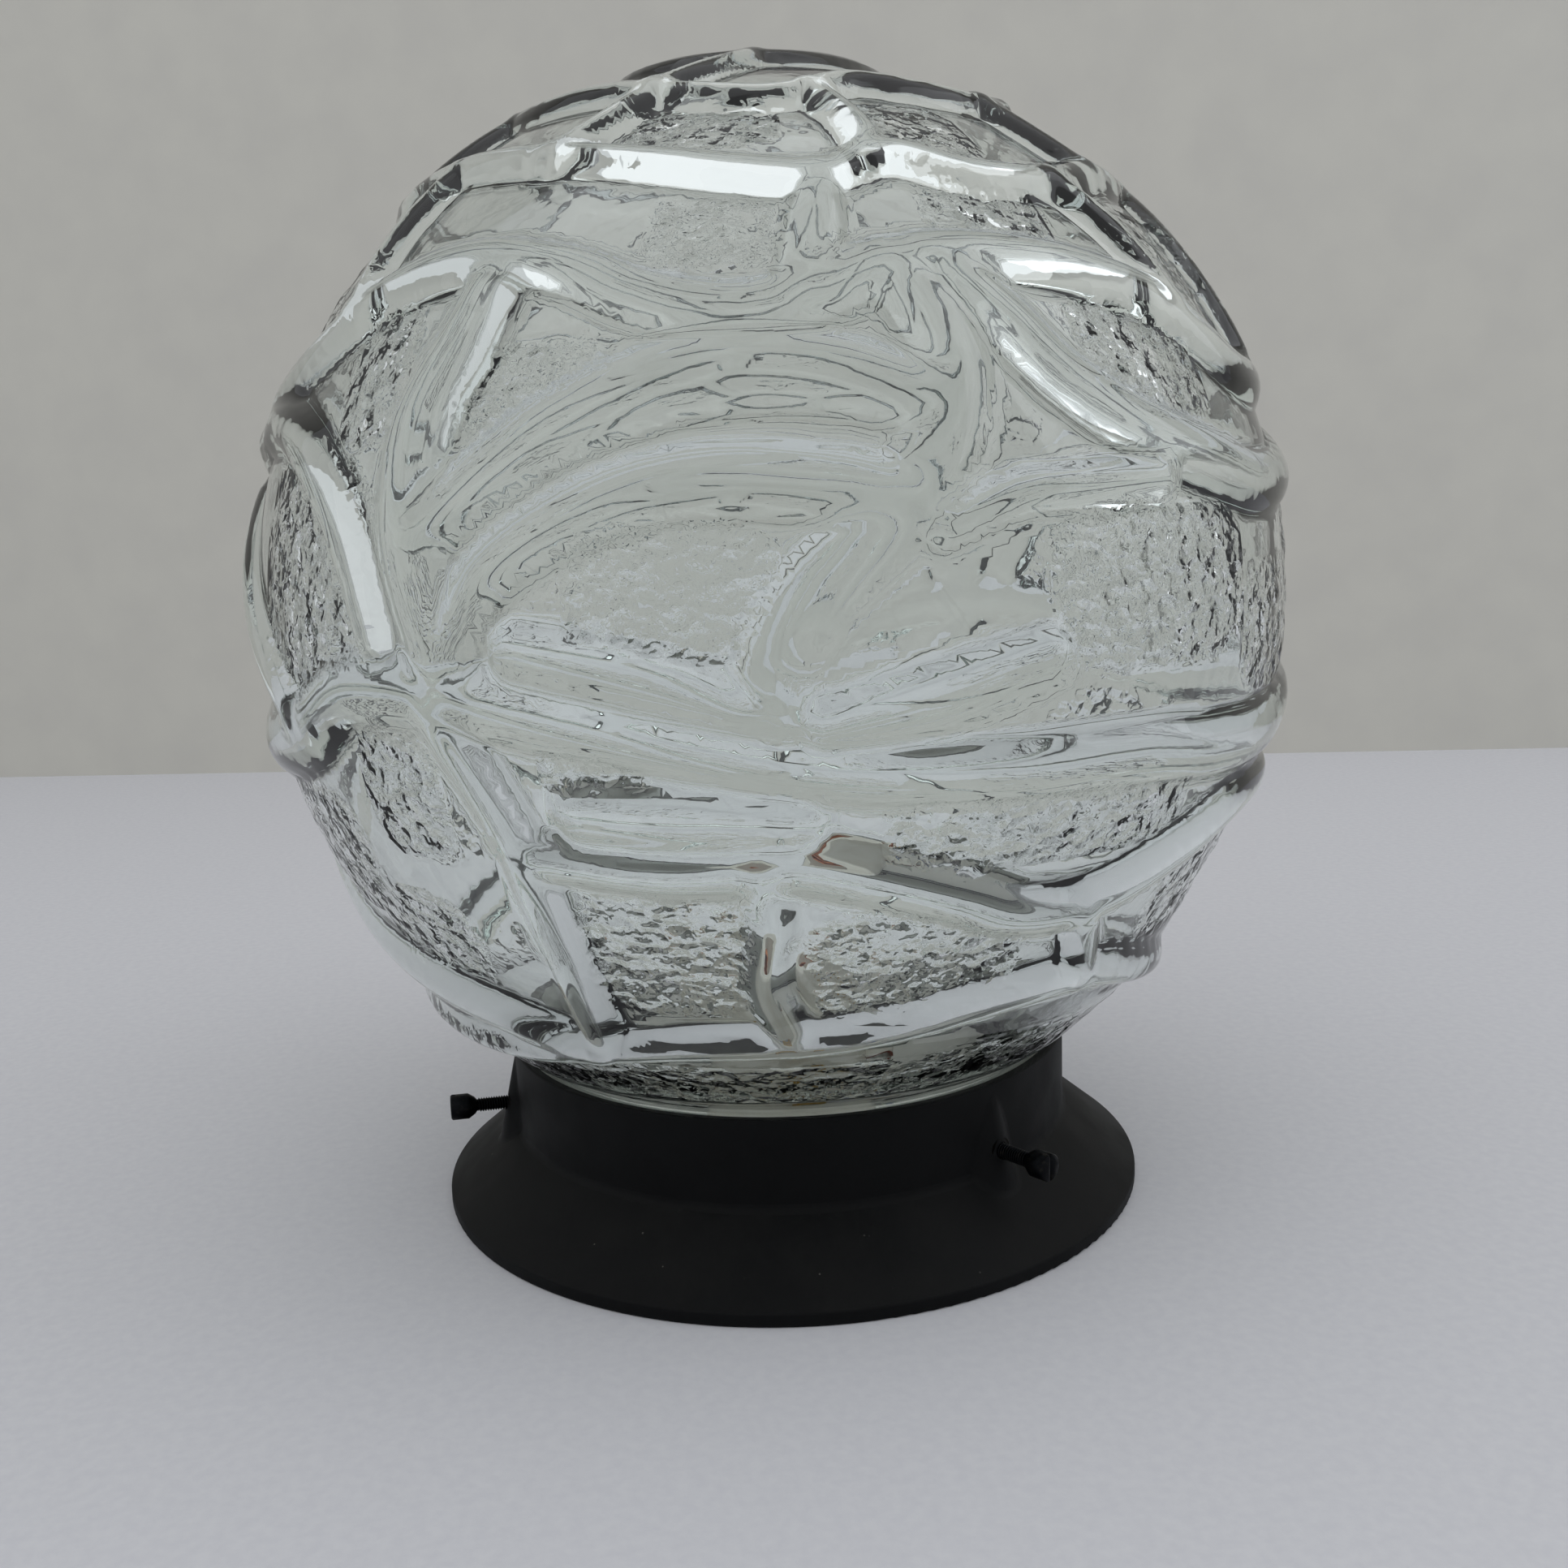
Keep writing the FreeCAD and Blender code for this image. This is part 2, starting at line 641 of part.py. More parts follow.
def make_centre_contact():
    """A sprung bronze strip in the well, bent up so that its tongue meets the lamp's tip."""
    body = new_body("centre_contact")
    foot_top = f"{WELL_FLOOR} + dim.contact_wall"
    top = f"{WELL_FLOOR} + dim.contact_height"
    reach = f"({WELL_R} - dim.contact_end_gap)"
    strip = [
        (f"-{reach}", WELL_FLOOR),
        (reach, WELL_FLOOR),
        (reach, top),
        (f"{reach} - dim.contact_tongue", top),
        (f"{reach} - dim.contact_tongue", f"{top} - dim.contact_wall"),
        (f"{reach} - dim.contact_wall", f"{top} - dim.contact_wall"),
        (f"{reach} - dim.contact_wall", foot_top),
        (f"-{reach}", foot_top),
    ]
    pad = body.newObject("PartDesign::Pad", "centre_contact_form")
    pad.Profile = new_sketch(body, "form", "XZ_Plane", [strip])
    pad.SideType = "Symmetric"
    pad.setExpression("Length", "dim.contact_width")
    hole = [("-dim.live_rivet_x", "0", RIVET_HOLE_R)]
    pocketed(body, "rivet_hole", foot_top, "dim.contact_wall + dim.overcut", circles=hole)


def make_contact_rivets():
    """Two brass rivets that carry the current through the porcelain web."""
    body = new_body("contact_rivets")
    foot = f"({LINK_TOP} - dim.link_wall)"
    live = [("-dim.live_rivet_x", "0", "dim.rivet_r")]
    neutral = [("0", f"-{NEUTRAL_Y}", "dim.rivet_r")]
    live_top = f"{WELL_FLOOR} + dim.contact_wall"
    neutral_top = f"{SHELL_SEAT} + dim.shell_wall"
    padded(body, "live", foot, f"{live_top} - {foot}", circles=live)
    padded(body, "neutral", foot, f"{neutral_top} - {foot}", circles=neutral)


def make_contact_links():
    """Two brass strips in the porcelain's underside, from each rivet to its terminal."""
    body = new_body("contact_links")
    foot = f"{LINK_TOP} - dim.link_wall"
    half = "dim.link_width / 2"
    end = f"({TERMINAL_Y} + dim.terminal_stud_r + dim.rivet_margin / 2)"
    live_end = "-(dim.rivet_r + dim.rivet_margin)"
    neutral_end = f"-({NEUTRAL_Y} - dim.rivet_r - dim.rivet_margin)"
    strips = [
        box_outline(f"-{half}", half, live_end, end),
        box_outline(f"-{half}", half, f"-{end}", neutral_end),
    ]
    padded(body, "form", foot, "dim.link_wall", outlines=strips)
    holes = [
        ("-dim.live_rivet_x", "0", RIVET_HOLE_R),
        ("0", f"-{NEUTRAL_Y}", RIVET_HOLE_R),
        ("0", TERMINAL_Y, STUD_HOLE_R),
        ("0", f"-{TERMINAL_Y}", STUD_HOLE_R),
    ]
    pocketed(body, "holes", LINK_TOP, "dim.link_wall + dim.overcut", circles=holes)


def make_pillar_terminals():
    """Two brass pillars on the porcelain base, each with a cross bore and a stud down to its link."""
    body = new_body("pillar_terminals")
    half_x = "dim.terminal_width / 2"
    half_y = "dim.terminal_depth / 2"
    near = f"{TERMINAL_Y} - {half_y}"
    far = f"{TERMINAL_Y} + {half_y}"
    blocks = [
        box_outline(f"-{half_x}", half_x, near, far),
        box_outline(f"-{half_x}", half_x, f"-({far})", f"-({near})"),
    ]
    padded(body, "blocks", BASE_TOP, "dim.terminal_height", outlines=blocks)
    places = [("0", TERMINAL_Y), ("0", f"-{TERMINAL_Y}")]
    studs = [(x, y, "dim.terminal_stud_r") for x, y in places]
    foot = f"({LINK_TOP} - dim.link_wall)"
    padded(body, "studs", foot, f"{BASE_TOP} - {foot}", circles=studs)
    taps = [(x, y, "dim.terminal_screw_r") for x, y in places]
    top = f"{BASE_TOP} + dim.terminal_height"
    doc.recompute()
    depth = "dim.terminal_height - dim.terminal_bore_height"
    pocketed(body, "taps", top, depth, circles=taps)
    for name, side in (("live_bore", TERMINAL_Y), ("neutral_bore", f"-{TERMINAL_Y}")):
        length = "dim.terminal_width + 2 * dim.overcut"
        drilled(body, name, f"-{half_x} - dim.overcut", length, "dim.terminal_bore_r", TERMINAL_BORE, side)


def make_pillar_screws():
    """The two screws that clamp the leads in the pillars."""
    body = new_body("pillar_screws")
    tip = f"({TERMINAL_BORE} + dim.core_r + dim.clamp_gap / 3)"
    top = f"({BASE_TOP} + dim.terminal_height)"
    places = [("0", TERMINAL_Y), ("0", f"-{TERMINAL_Y}")]
    shanks = [(x, y, "dim.terminal_screw_r") for x, y in places]
    heads = [(x, y, "dim.terminal_screw_head_r") for x, y in places]
    padded(body, "shanks", tip, f"{top} - {tip}", circles=shanks)
    padded(body, "heads", top, "dim.terminal_screw_head", circles=heads)
    half = "dim.slot_width / 2"
    wide = "dim.terminal_screw_head_r + dim.overcut"
    slots = [
        box_outline(f"-({wide})", wide, f"{TERMINAL_Y} - {half}", f"{TERMINAL_Y} + {half}"),
        box_outline(f"-({wide})", wide, f"-{TERMINAL_Y} - {half}", f"-{TERMINAL_Y} + {half}"),
    ]
    pocketed(body, "slots", f"{top} + dim.terminal_screw_head", "dim.terminal_screw_head / 2", slots)


def make_holder_fixings():
    """Two M4 screws with fibre washers and nuts, which clamp the porcelain to the canopy's floor."""
    spots = [(HOLDER_SCREW_X, "0"), (f"-{HOLDER_SCREW_X}", "0")]
    hole = [(x, y, "dim.holder_screw_r") for x, y in spots]
    washer_top = f"({BASE_TOP} + dim.holder_washer)"
    nut_foot = f"({FLOOR_UNDER} - dim.holder_nut)"

    washers = new_body("holder_washers")
    rings = [(x, y, "dim.holder_washer_r") for x, y in spots] + hole
    padded(washers, "form", BASE_TOP, "dim.holder_washer", circles=rings)

    screws = new_body("holder_screws")
    end = f"({nut_foot} - dim.holder_screw_spare)"
    padded(screws, "shanks", end, f"{washer_top} - {end}", circles=hole)
    heads = [(x, y, "dim.holder_screw_head_r") for x, y in spots]
    padded(screws, "heads", washer_top, "dim.holder_screw_head", circles=heads)
    half = "dim.slot_width / 2"
    near = f"{HOLDER_SCREW_X} - dim.holder_screw_head_r - dim.overcut"
    far = f"{HOLDER_SCREW_X} + dim.holder_screw_head_r + dim.overcut"
    slots = [
        box_outline(near, far, f"-{half}", half),
        box_outline(f"-({far})", f"-({near})", f"-{half}", half),
    ]
    pocketed(screws, "slots", f"{washer_top} + dim.holder_screw_head", "dim.holder_screw_head / 2", slots)

    nuts = new_body("holder_nuts")
    hexagons = [hexagon(HOLDER_SCREW_X, "dim.holder_nut_flats")]
    hexagons.append(hexagon(f"-{HOLDER_SCREW_X}", "dim.holder_nut_flats"))
    padded(nuts, "form", nut_foot, "dim.holder_nut", outlines=hexagons, circles=hole)


# ---------------------------------------------------------------- connector block and leads


def clamp_places():
    """The four clamp screws of the block, two on each way."""
    along = "dim.clamp_spacing / 2"
    across = "dim.block_pitch / 2"
    return [
        (f"dim.block_x {a} {along}", f"{b}{across}")
        for a in ("-", "+")
        for b in ("", "-")
    ]


def make_connector_block():
    """A two-way ceramic block under the floor, bored for two brass tubes and a fixing screw."""
    body = new_body("connector_block")
    half_x = "dim.block_length / 2"
    half_y = "dim.block_width / 2"
    plan = box_outline(f"dim.block_x - {half_x}", f"dim.block_x + {half_x}", f"-{half_y}", half_y)
    padded(body, "form", BLOCK_FOOT, "dim.block_height", outlines=[plan])
    wells = [(x, y, CLAMP_WELL_R) for x, y in clamp_places()]
    pocketed(body, "wells", BLOCK_BORE, "dim.block_height", circles=wells)
    screw = [("dim.block_x", "0", BLOCK_SCREW_HOLE_R)]
    pocketed(body, "screw_hole", FLOOR_UNDER, "dim.block_height + dim.overcut", circles=screw)
    start = f"dim.block_x - {half_x} - dim.overcut"
    bore_r = "dim.tube_r + dim.tube_fit"
    for name, side in (("live_bore", "dim.block_pitch / 2"), ("neutral_bore", "-dim.block_pitch / 2")):
        drilled(body, name, start, "dim.block_length + 2 * dim.overcut", bore_r, BLOCK_BORE, side)


def make_block_tubes():
    """The two brass tubes in the block, where the leads meet the supply."""
    body = new_body("block_tubes")
    for name, side in (("live", "dim.block_pitch / 2"), ("neutral", "-dim.block_pitch / 2")):
        tube = body.newObject("PartDesign::AdditiveCylinder", f"block_tubes_{name}")
        tube.Placement.Rotation = ALONG_X
        tube.setExpression("Radius", "dim.tube_r")
        tube.setExpression("Height", "dim.tube_length")
        tube.setExpression("Placement.Base.x", "dim.block_x - dim.tube_length / 2")
        tube.setExpression("Placement.Base.y", side)
        tube.setExpression("Placement.Base.z", BLOCK_BORE)
        start = "dim.block_x - dim.tube_length / 2 - dim.overcut"
        through = "dim.tube_length + 2 * dim.overcut"
        drilled(body, f"{name}_bore", start, through, "dim.tube_bore_r", BLOCK_BORE, side)
    holes = [(x, y, "dim.clamp_r") for x, y in clamp_places()]
    pocketed(body, "taps", BLOCK_BORE, "dim.tube_r + dim.overcut", circles=holes)


def make_block_clamps():
    """The four small screws that clamp the wires in the block's tubes, driven from below."""
    body = new_body("block_clamps")
    foot = f"({BLOCK_FOOT} + dim.clamp_sunk)"
    top = f"({BLOCK_BORE} - dim.core_r - dim.clamp_gap)"
    shanks = [(x, y, "dim.clamp_r") for x, y in clamp_places()]
    padded(body, "form", foot, f"{top} - {foot}", circles=shanks)


def make_block_fixing():
    """The screw and nut that hold the connector block up against the floor."""
    spot = ("dim.block_x", "0")
    shank = [(*spot, "dim.block_screw_r")]
    screw = new_body("block_screw")
    foot = f"({BLOCK_FOOT} - dim.block_nut)"
    padded(screw, "shank", foot, f"dim.floor_top - {foot}", circles=shank)
    head = [(*spot, "dim.block_screw_head_r")]
    padded(screw, "head", "dim.floor_top", "dim.block_screw_head", circles=head)
    half = "dim.slot_width / 2"
    near = "dim.block_x - dim.block_screw_head_r - dim.overcut"
    far = "dim.block_x + dim.block_screw_head_r + dim.overcut"
    slot = box_outline(near, far, f"-{half}", half)
    pocketed(screw, "slot", "dim.floor_top + dim.block_screw_head", "dim.block_screw_head / 2", [slot])
    nut = new_body("block_nut")
    padded(nut, "form", foot, "dim.block_nut", [hexagon("dim.block_x", "dim.block_nut_flats")], shank)


def make_lead_grommets():
    """Two rubber grommets in the floor, where the leads go through."""
    body = new_body("lead_grommets")
    spots = [(LEAD_HOLE_X, TERMINAL_Y), (LEAD_HOLE_X, f"-{TERMINAL_Y}")]
    bores = [(x, y, GROMMET_BORE_R) for x, y in spots]
    barrels = [(x, y, GROMMET_HOLE_R) for x, y in spots] + bores
    flanges = [(x, y, GROMMET_FLANGE_R) for x, y in spots] + bores
    padded(body, "barrels", FLOOR_UNDER, "dim.floor_wall", circles=barrels)
    padded(body, "flanges", "dim.floor_top", "dim.grommet_flange", circles=flanges)


def rounded_path(points, radii):
    """Straight runs through the points, with a tangent arc of each radius at each inner point."""
    edges = []
    start = points[0]
    for before, corner, after, radius in zip(points, points[1:], points[2:], radii):
        into = (corner - before).normalize()
        out = (after - corner).normalize()
        half_turn = into.getAngle(out) / 2
        back = radius * math.tan(half_turn)
        bulge = radius / math.cos(half_turn) - radius
        first = corner - into * back
        last = corner + out * back
        middle = corner + (out - into).normalize() * bulge
        edges += [Part.LineSegment(start, first).toShape(), Part.Arc(first, middle, last).toShape()]
        start = last
    edges.append(Part.LineSegment(start, points[-1]).toShape())
    return Part.Wire(edges)


def make_lead(label, side):
    """One insulated lead from its pillar down through the floor to the block, bared at both ends."""
    terminal_y = side * value(TERMINAL_Y)
    way_y = side * value("dim.block_pitch / 2")
    hole_x = value(LEAD_HOLE_X)
    block_face = value("dim.block_x - dim.block_length / 2")
    upper = value(TERMINAL_BORE)
    lower = value(BLOCK_BORE)
    points = [
        Vector(value("dim.terminal_width / 2"), terminal_y, upper),
        Vector(hole_x, terminal_y, upper),
        Vector(hole_x, terminal_y, lower),
        Vector(block_face - value("dim.lead_run_in"), way_y, lower),
        Vector(block_face, way_y, lower),
    ]
    turns = [value(f"dim.{turn}") for turn in ("lead_upper_turn", "lead_floor_turn", "lead_block_turn")]
    path = rounded_path(points, turns)
    start = Part.Wire(Part.makeCircle(value("dim.lead_r"), points[0], Vector(1, 0, 0)))
    jacket = path.makePipeShell([start], True, True)
    core = value("dim.core_length")
    bare_r = value("dim.core_r")
    bare_top = Part.makeCylinder(bare_r, core, points[0], Vector(-1, 0, 0))
    bare_end = Part.makeCylinder(bare_r, core, points[-1], Vector(1, 0, 0))
    lead = doc.addObject("Part::Feature", label)
    lead.Shape = jacket.fuse([bare_top, bare_end])
    lead.Placement = FreeCAD.Placement()
    length = path.Length
    expected = math.pi * value("dim.lead_r") ** 2 * length
    print(f"{label}: {length:.1f} mm long, turns of {turns} mm")
    print(f"{label}: jacket {jacket.Volume:.1f} mm3 of {expected:.1f}")
    return lead


# ---------------------------------------------------------------- build and write

make_canopy()
make_screw_inserts()
for side_name, angle in SCREW_AZIMUTHS.items():
    make_thumbscrew(side_name, angle)
    make_screw_tip(side_name, angle)
make_glass_globe()
make_neck_ring()
make_holder_body()
make_socket_shell()
make_centre_contact()
make_contact_rivets()
make_contact_links()
make_pillar_terminals()
make_pillar_screws()
make_holder_fixings()
make_connector_block()
make_block_tubes()
make_block_clamps()
make_block_fixing()
make_lead_grommets()
make_lead("lead_live", 1)
make_lead("lead_neutral", -1)
doc.recompute()

for item in doc.Objects:
    if {"Invalid", "Error"} & set(item.State):
        raise ValueError(f"{item.Name} failed: {item.State}")
nodes = [item for item in doc.Objects if item.TypeId == "PartDesign::Body"]
nodes += [doc.getObject(name) for name in ("glass_globe", "lead_live", "lead_neutral")]
for item in nodes:
    if item.Shape.isNull() or not item.Shape.isValid():
        raise ValueError(f"{item.Label} has no valid shape")
os.makedirs("parts", exist_ok=True)
for item in nodes:
    item.Shape.exportStep(f"parts/{item.Label}.step")
    print(f"{item.Label}: {len(item.Shape.Solids)} solids, {item.Shape.Volume:.0f} mm3")
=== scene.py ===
"""Globe ceiling lamp stood on its base: the looks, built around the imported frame. Lengths in metres."""

import math

import bmesh
import bpy
import numpy as np
from mathutils import Matrix, Vector, noise


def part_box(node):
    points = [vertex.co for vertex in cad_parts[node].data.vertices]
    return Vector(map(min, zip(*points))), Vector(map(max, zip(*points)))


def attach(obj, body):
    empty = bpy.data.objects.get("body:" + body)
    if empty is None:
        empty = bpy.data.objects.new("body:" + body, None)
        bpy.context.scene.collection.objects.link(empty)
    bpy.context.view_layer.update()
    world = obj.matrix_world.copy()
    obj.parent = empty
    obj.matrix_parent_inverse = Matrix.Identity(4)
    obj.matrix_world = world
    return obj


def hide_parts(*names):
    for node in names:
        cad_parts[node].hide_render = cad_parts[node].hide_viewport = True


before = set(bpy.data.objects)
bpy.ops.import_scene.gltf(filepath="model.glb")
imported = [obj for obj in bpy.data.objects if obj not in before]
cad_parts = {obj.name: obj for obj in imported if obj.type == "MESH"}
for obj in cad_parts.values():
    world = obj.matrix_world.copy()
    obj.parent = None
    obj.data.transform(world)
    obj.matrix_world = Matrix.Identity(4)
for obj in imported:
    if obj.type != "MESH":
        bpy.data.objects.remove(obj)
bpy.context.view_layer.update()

MM = 0.001

# ---------------------------------------------------------------- canopy
# The base that screws to the ceiling: one moulding in black phenolic, matt from its mould, with a
# flared flange, a collar and three bosses. Dust has settled on the flange, and the well that holds
# the glass is sprayed white inside, to throw the light out.


def linear(colour):
    """An sRGB hex colour as linear red, green, blue and alpha."""
    channels = [int(colour[i:i + 2], 16) / 255 for i in (1, 3, 5)]
    return (*[c / 12.92 if c <= 0.04045 else ((c + 0.055) / 1.055) ** 2.4 for c in channels], 1.0)


def add(tree, kind, inputs=None, links=None, **settings):
    """Add a shader node with its own settings, its sockets' values and the outputs it is fed from."""
    made = tree.nodes.new(kind)
    for name, value in settings.items():
        setattr(made, name, value)
    for socket, value in (inputs or {}).items():
        made.inputs[socket].default_value = value
    for socket, source in (links or {}).items():
        tree.links.new(source, made.inputs[socket])
    return made


def new_material(name):
    """An empty material and its node tree."""
    material = bpy.data.materials.new(name)
    material.use_nodes = True
    material.node_tree.nodes.clear()
    return material, material.node_tree


def finish_material(tree, shader, volume=None):
    output = add(tree, "ShaderNodeOutputMaterial", links={"Surface": shader.outputs[0]})
    if volume:
        tree.links.new(volume.outputs[0], output.inputs["Volume"])


def blotches(tree, place, size_mm, detail=3.0, seed=0.0):
    """Noise whose features are about this many millimetres across."""
    return add(
        tree, "ShaderNodeTexNoise", noise_dimensions="4D", links={"Vector": place},
        inputs={"Scale": 1 / (size_mm * MM), "Detail": detail, "W": seed},
    ).outputs[0]


def remapped(tree, source, low, high, to_low=0.0, to_high=1.0):
    """A value stretched from one range to another, and held inside it."""
    return add(
        tree, "ShaderNodeMapRange", links={"Value": source},
        inputs={"From Min": low, "From Max": high, "To Min": to_low, "To Max": to_high},
    ).outputs[0]


def between(tree, factor, first, second):
    """Two colours mixed by a factor; each is a hex colour or another node's output."""
    mix = add(tree, "ShaderNodeMix", data_type="RGBA", links={0: factor})
    for socket, colour in ((6, first), (7, second)):
        if isinstance(colour, str):
            mix.inputs[socket].default_value = linear(colour)
        else:
            tree.links.new(colour, mix.inputs[socket])
    return mix.outputs[2]


def dress(material, *names):
    """Give CAD nodes a material in place of their own."""
    for name in names:
        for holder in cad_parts[name].material_slots:
            holder.material = material


# black phenolic moulding: matt, with a fine mould grain, pale dust and a few bright specks
GRAIN_MM = 0.7
DUST_MM = 14.0
SPECK_MM = 9.0
# the white paint covers what lies inside this radius, between these heights
PAINT_R = 75.62 * MM
PAINT_FOOT = 15 * MM
PAINT_TOP = 41.8 * MM
PAINT_EDGE = 0.5 * MM

phenolic, tree = new_material("black_phenolic_moulding")
place = add(tree, "ShaderNodeTexCoord").outputs["Object"]
grain = blotches(tree, place, GRAIN_MM)
up = add(tree, "ShaderNodeSeparateXYZ", links={0: add(tree, "ShaderNodeNewGeometry").outputs["Normal"]})
facing_up = remapped(tree, up.outputs["Z"], 0.35, 1.0)
patches = remapped(tree, blotches(tree, place, DUST_MM, detail=6.0, seed=2.0), 0.42, 0.7, 0.25, 1.0)
dust = add(tree, "ShaderNodeMath", operation="MULTIPLY", links={0: facing_up, 1: patches}).outputs[0]
dust_amount = add(tree, "ShaderNodeMath", operation="MULTIPLY", links={0: dust}, inputs={1: 0.03}).outputs[0]
body_colour = between(tree, remapped(tree, grain, 0.35, 0.65), "#050607", "#08090a")
dusty = between(tree, dust_amount, body_colour, "#8d8a84")
specks = add(tree, "ShaderNodeTexVoronoi", links={"Vector": place}, inputs={"Scale": 1 / (SPECK_MM * MM)})
speck = remapped(tree, specks.outputs["Distance"], 0.035, 0.02)
speck_amount = add(tree, "ShaderNodeMath", operation="MULTIPLY", links={0: speck, 1: dust}).outputs[0]
speckled = between(tree, speck_amount, dusty, "#77746e")
split = add(tree, "ShaderNodeSeparateXYZ", links={0: place})
across = add(
    tree, "ShaderNodeCombineXYZ", links={0: split.outputs["X"], 1: split.outputs["Y"]}
).outputs[0]
from_axis = add(tree, "ShaderNodeVectorMath", operation="LENGTH", links={0: across}).outputs["Value"]
uneven = remapped(tree, blotches(tree, place, 5.0, detail=4.0, seed=6.0), 0.3, 0.7, -PAINT_EDGE, PAINT_EDGE)
edge = add(tree, "ShaderNodeMath", operation="ADD", links={0: split.outputs["Z"], 1: uneven}).outputs[0]
inside = remapped(tree, from_axis, PAINT_R, PAINT_R - 0.02 * MM)
above_floor = remapped(tree, edge, PAINT_FOOT, PAINT_FOOT + 0.02 * MM)
below_rim = remapped(tree, edge, PAINT_TOP, PAINT_TOP - PAINT_EDGE)
low_part = add(tree, "ShaderNodeMath", operation="MULTIPLY", links={0: inside, 1: above_floor}).outputs[0]
painted = add(tree, "ShaderNodeMath", operation="MULTIPLY", links={0: low_part, 1: below_rim}).outputs[0]
shader = add(
    tree, "ShaderNodeBsdfPrincipled",
    inputs={"IOR": 1.5, "Specular IOR Level": 0.12},
    links={
        "Base Color": between(tree, painted, speckled, "#dedcd6"),
        "Roughness": remapped(tree, patches, 0.0, 1.0, 0.5, 0.66),
        "Normal": add(
            tree, "ShaderNodeBump", inputs={"Strength": 0.35, "Distance": 0.06 * MM}, links={"Height": grain}
        ).outputs[0],
    },
)
finish_material(tree, shader)
dress(phenolic, "canopy")

# ---------------------------------------------------------------- brass and bronze parts
# Turned and pressed brass: the tapped bushes in the bosses, the rivets, links, pillars and tubes.
# The centre contact is sprung phosphor bronze, redder than the brass, and the bushes are blackened.

TARNISH_MM = 2.5
SCRATCH_DEPTH = 0.03 * MM


def tarnished_metal(name, bright, dull, roughness):
    """Bare metal with uneven tarnish and a fine scratched surface."""
    metal, tree = new_material(name)
    place = add(tree, "ShaderNodeTexCoord").outputs["Object"]
    tarnish = blotches(tree, place, TARNISH_MM, detail=5.0)
    scratches = blotches(tree, place, TARNISH_MM / 6, seed=4.0)
    shader = add(
        tree, "ShaderNodeBsdfPrincipled",
        inputs={"Metallic": 1.0},
        links={
            "Base Color": between(tree, remapped(tree, tarnish, 0.35, 0.7), bright, dull),
            "Roughness": remapped(tree, tarnish, 0.3, 0.7, roughness, roughness + 0.2),
            "Normal": add(
                tree, "ShaderNodeBump", inputs={"Strength": 0.3, "Distance": SCRATCH_DEPTH},
                links={"Height": scratches},
            ).outputs[0],
        },
    )
    finish_material(tree, shader)
    return metal


brass = tarnished_metal("turned_brass", "#d8b45c", "#9a7434", 0.24)
dress(brass, "contact_rivets", "contact_links", "pillar_terminals", "block_tubes")
bronze = tarnished_metal("phosphor_bronze_strip", "#cf8a62", "#95563a", 0.28)
dress(bronze, "centre_contact")
dark_brass = tarnished_metal("blackened_brass", "#1d1b18", "#12110f", 0.45)
dress(dark_brass, "screw_inserts")

# ---------------------------------------------------------------- lampholder
# A porcelain base and barrel, dry-pressed and glazed white, screwed down to the canopy's floor.
# Its glossy glaze is a little uneven and has a few dark kiln specks.

GLAZE_MM = 11.0
KILN_SPECK_MM = 6.0

porcelain, tree = new_material("glazed_porcelain")
place = add(tree, "ShaderNodeTexCoord").outputs["Object"]
ripple = blotches(tree, place, GLAZE_MM, seed=1.0)
kiln = add(tree, "ShaderNodeTexVoronoi", links={"Vector": place}, inputs={"Scale": 1 / (KILN_SPECK_MM * MM)})
kiln_speck = remapped(tree, kiln.outputs["Distance"], 0.06, 0.03, 0.0, 0.5)
glaze = between(tree, remapped(tree, ripple, 0.35, 0.65), "#efece2", "#e4dfd2")
shader = add(
    tree, "ShaderNodeBsdfPrincipled",
    inputs={"Roughness": 0.16, "IOR": 1.52, "Coat Weight": 0.5, "Coat Roughness": 0.05},
    links={
        "Base Color": between(tree, kiln_speck, glaze, "#6d6154"),
        "Normal": add(
            tree, "ShaderNodeBump", inputs={"Strength": 0.25, "Distance": 0.3 * MM}, links={"Height": ripple}
        ).outputs[0],
    },
)
finish_material(tree, shader)
dress(porcelain, "lampholder_body")

# ---------------------------------------------------------------- socket shell
# Thin phosphor bronze, rolled into an E27 screw thread and riveted by its foot to the porcelain.

SHELL_MIDDLE_R = 13.2 * MM
SHELL_WAVE = 0.5 * MM
SHELL_PITCH = 3.63 * MM
SHELL_SHEET = 0.35 * MM
SHELL_FOOT_R = 7.9 * MM
WAVE_STEPS = 10
TURN_STEPS = 64
Z_AXIS = (0, 0, 1)


def new_piece(name, mesh_source, material, body, slot, *replaced):
    """An object from a bmesh, dressed, riding on its body and standing for the CAD nodes it replaces."""
    mesh = bpy.data.meshes.new(name)
    mesh_source.to_mesh(mesh)
    mesh_source.free()
    mesh.shade_smooth()
    piece = bpy.data.objects.new(name, mesh)
    bpy.context.scene.collection.objects.link(piece)
    mesh.materials.append(material)
    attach(piece, body)
    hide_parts(*replaced)
    return piece


def chain(source, points, closed=False):
    """A run of edges through the points, closed into a loop if asked."""
    spots = [source.verts.new(point) for point in points]
    pairs = list(zip(spots, spots[1:])) + ([(spots[-1], spots[0])] if closed else [])
    return spots + [source.edges.new(pair) for pair in pairs]


def full_spin(source, outline, steps):
    """Turn an outline in the XZ plane once round Z."""
    bmesh.ops.spin(
        source, geom=outline, cent=(0, 0, 0), axis=Z_AXIS, angle=math.tau, steps=steps, use_merge=True
    )


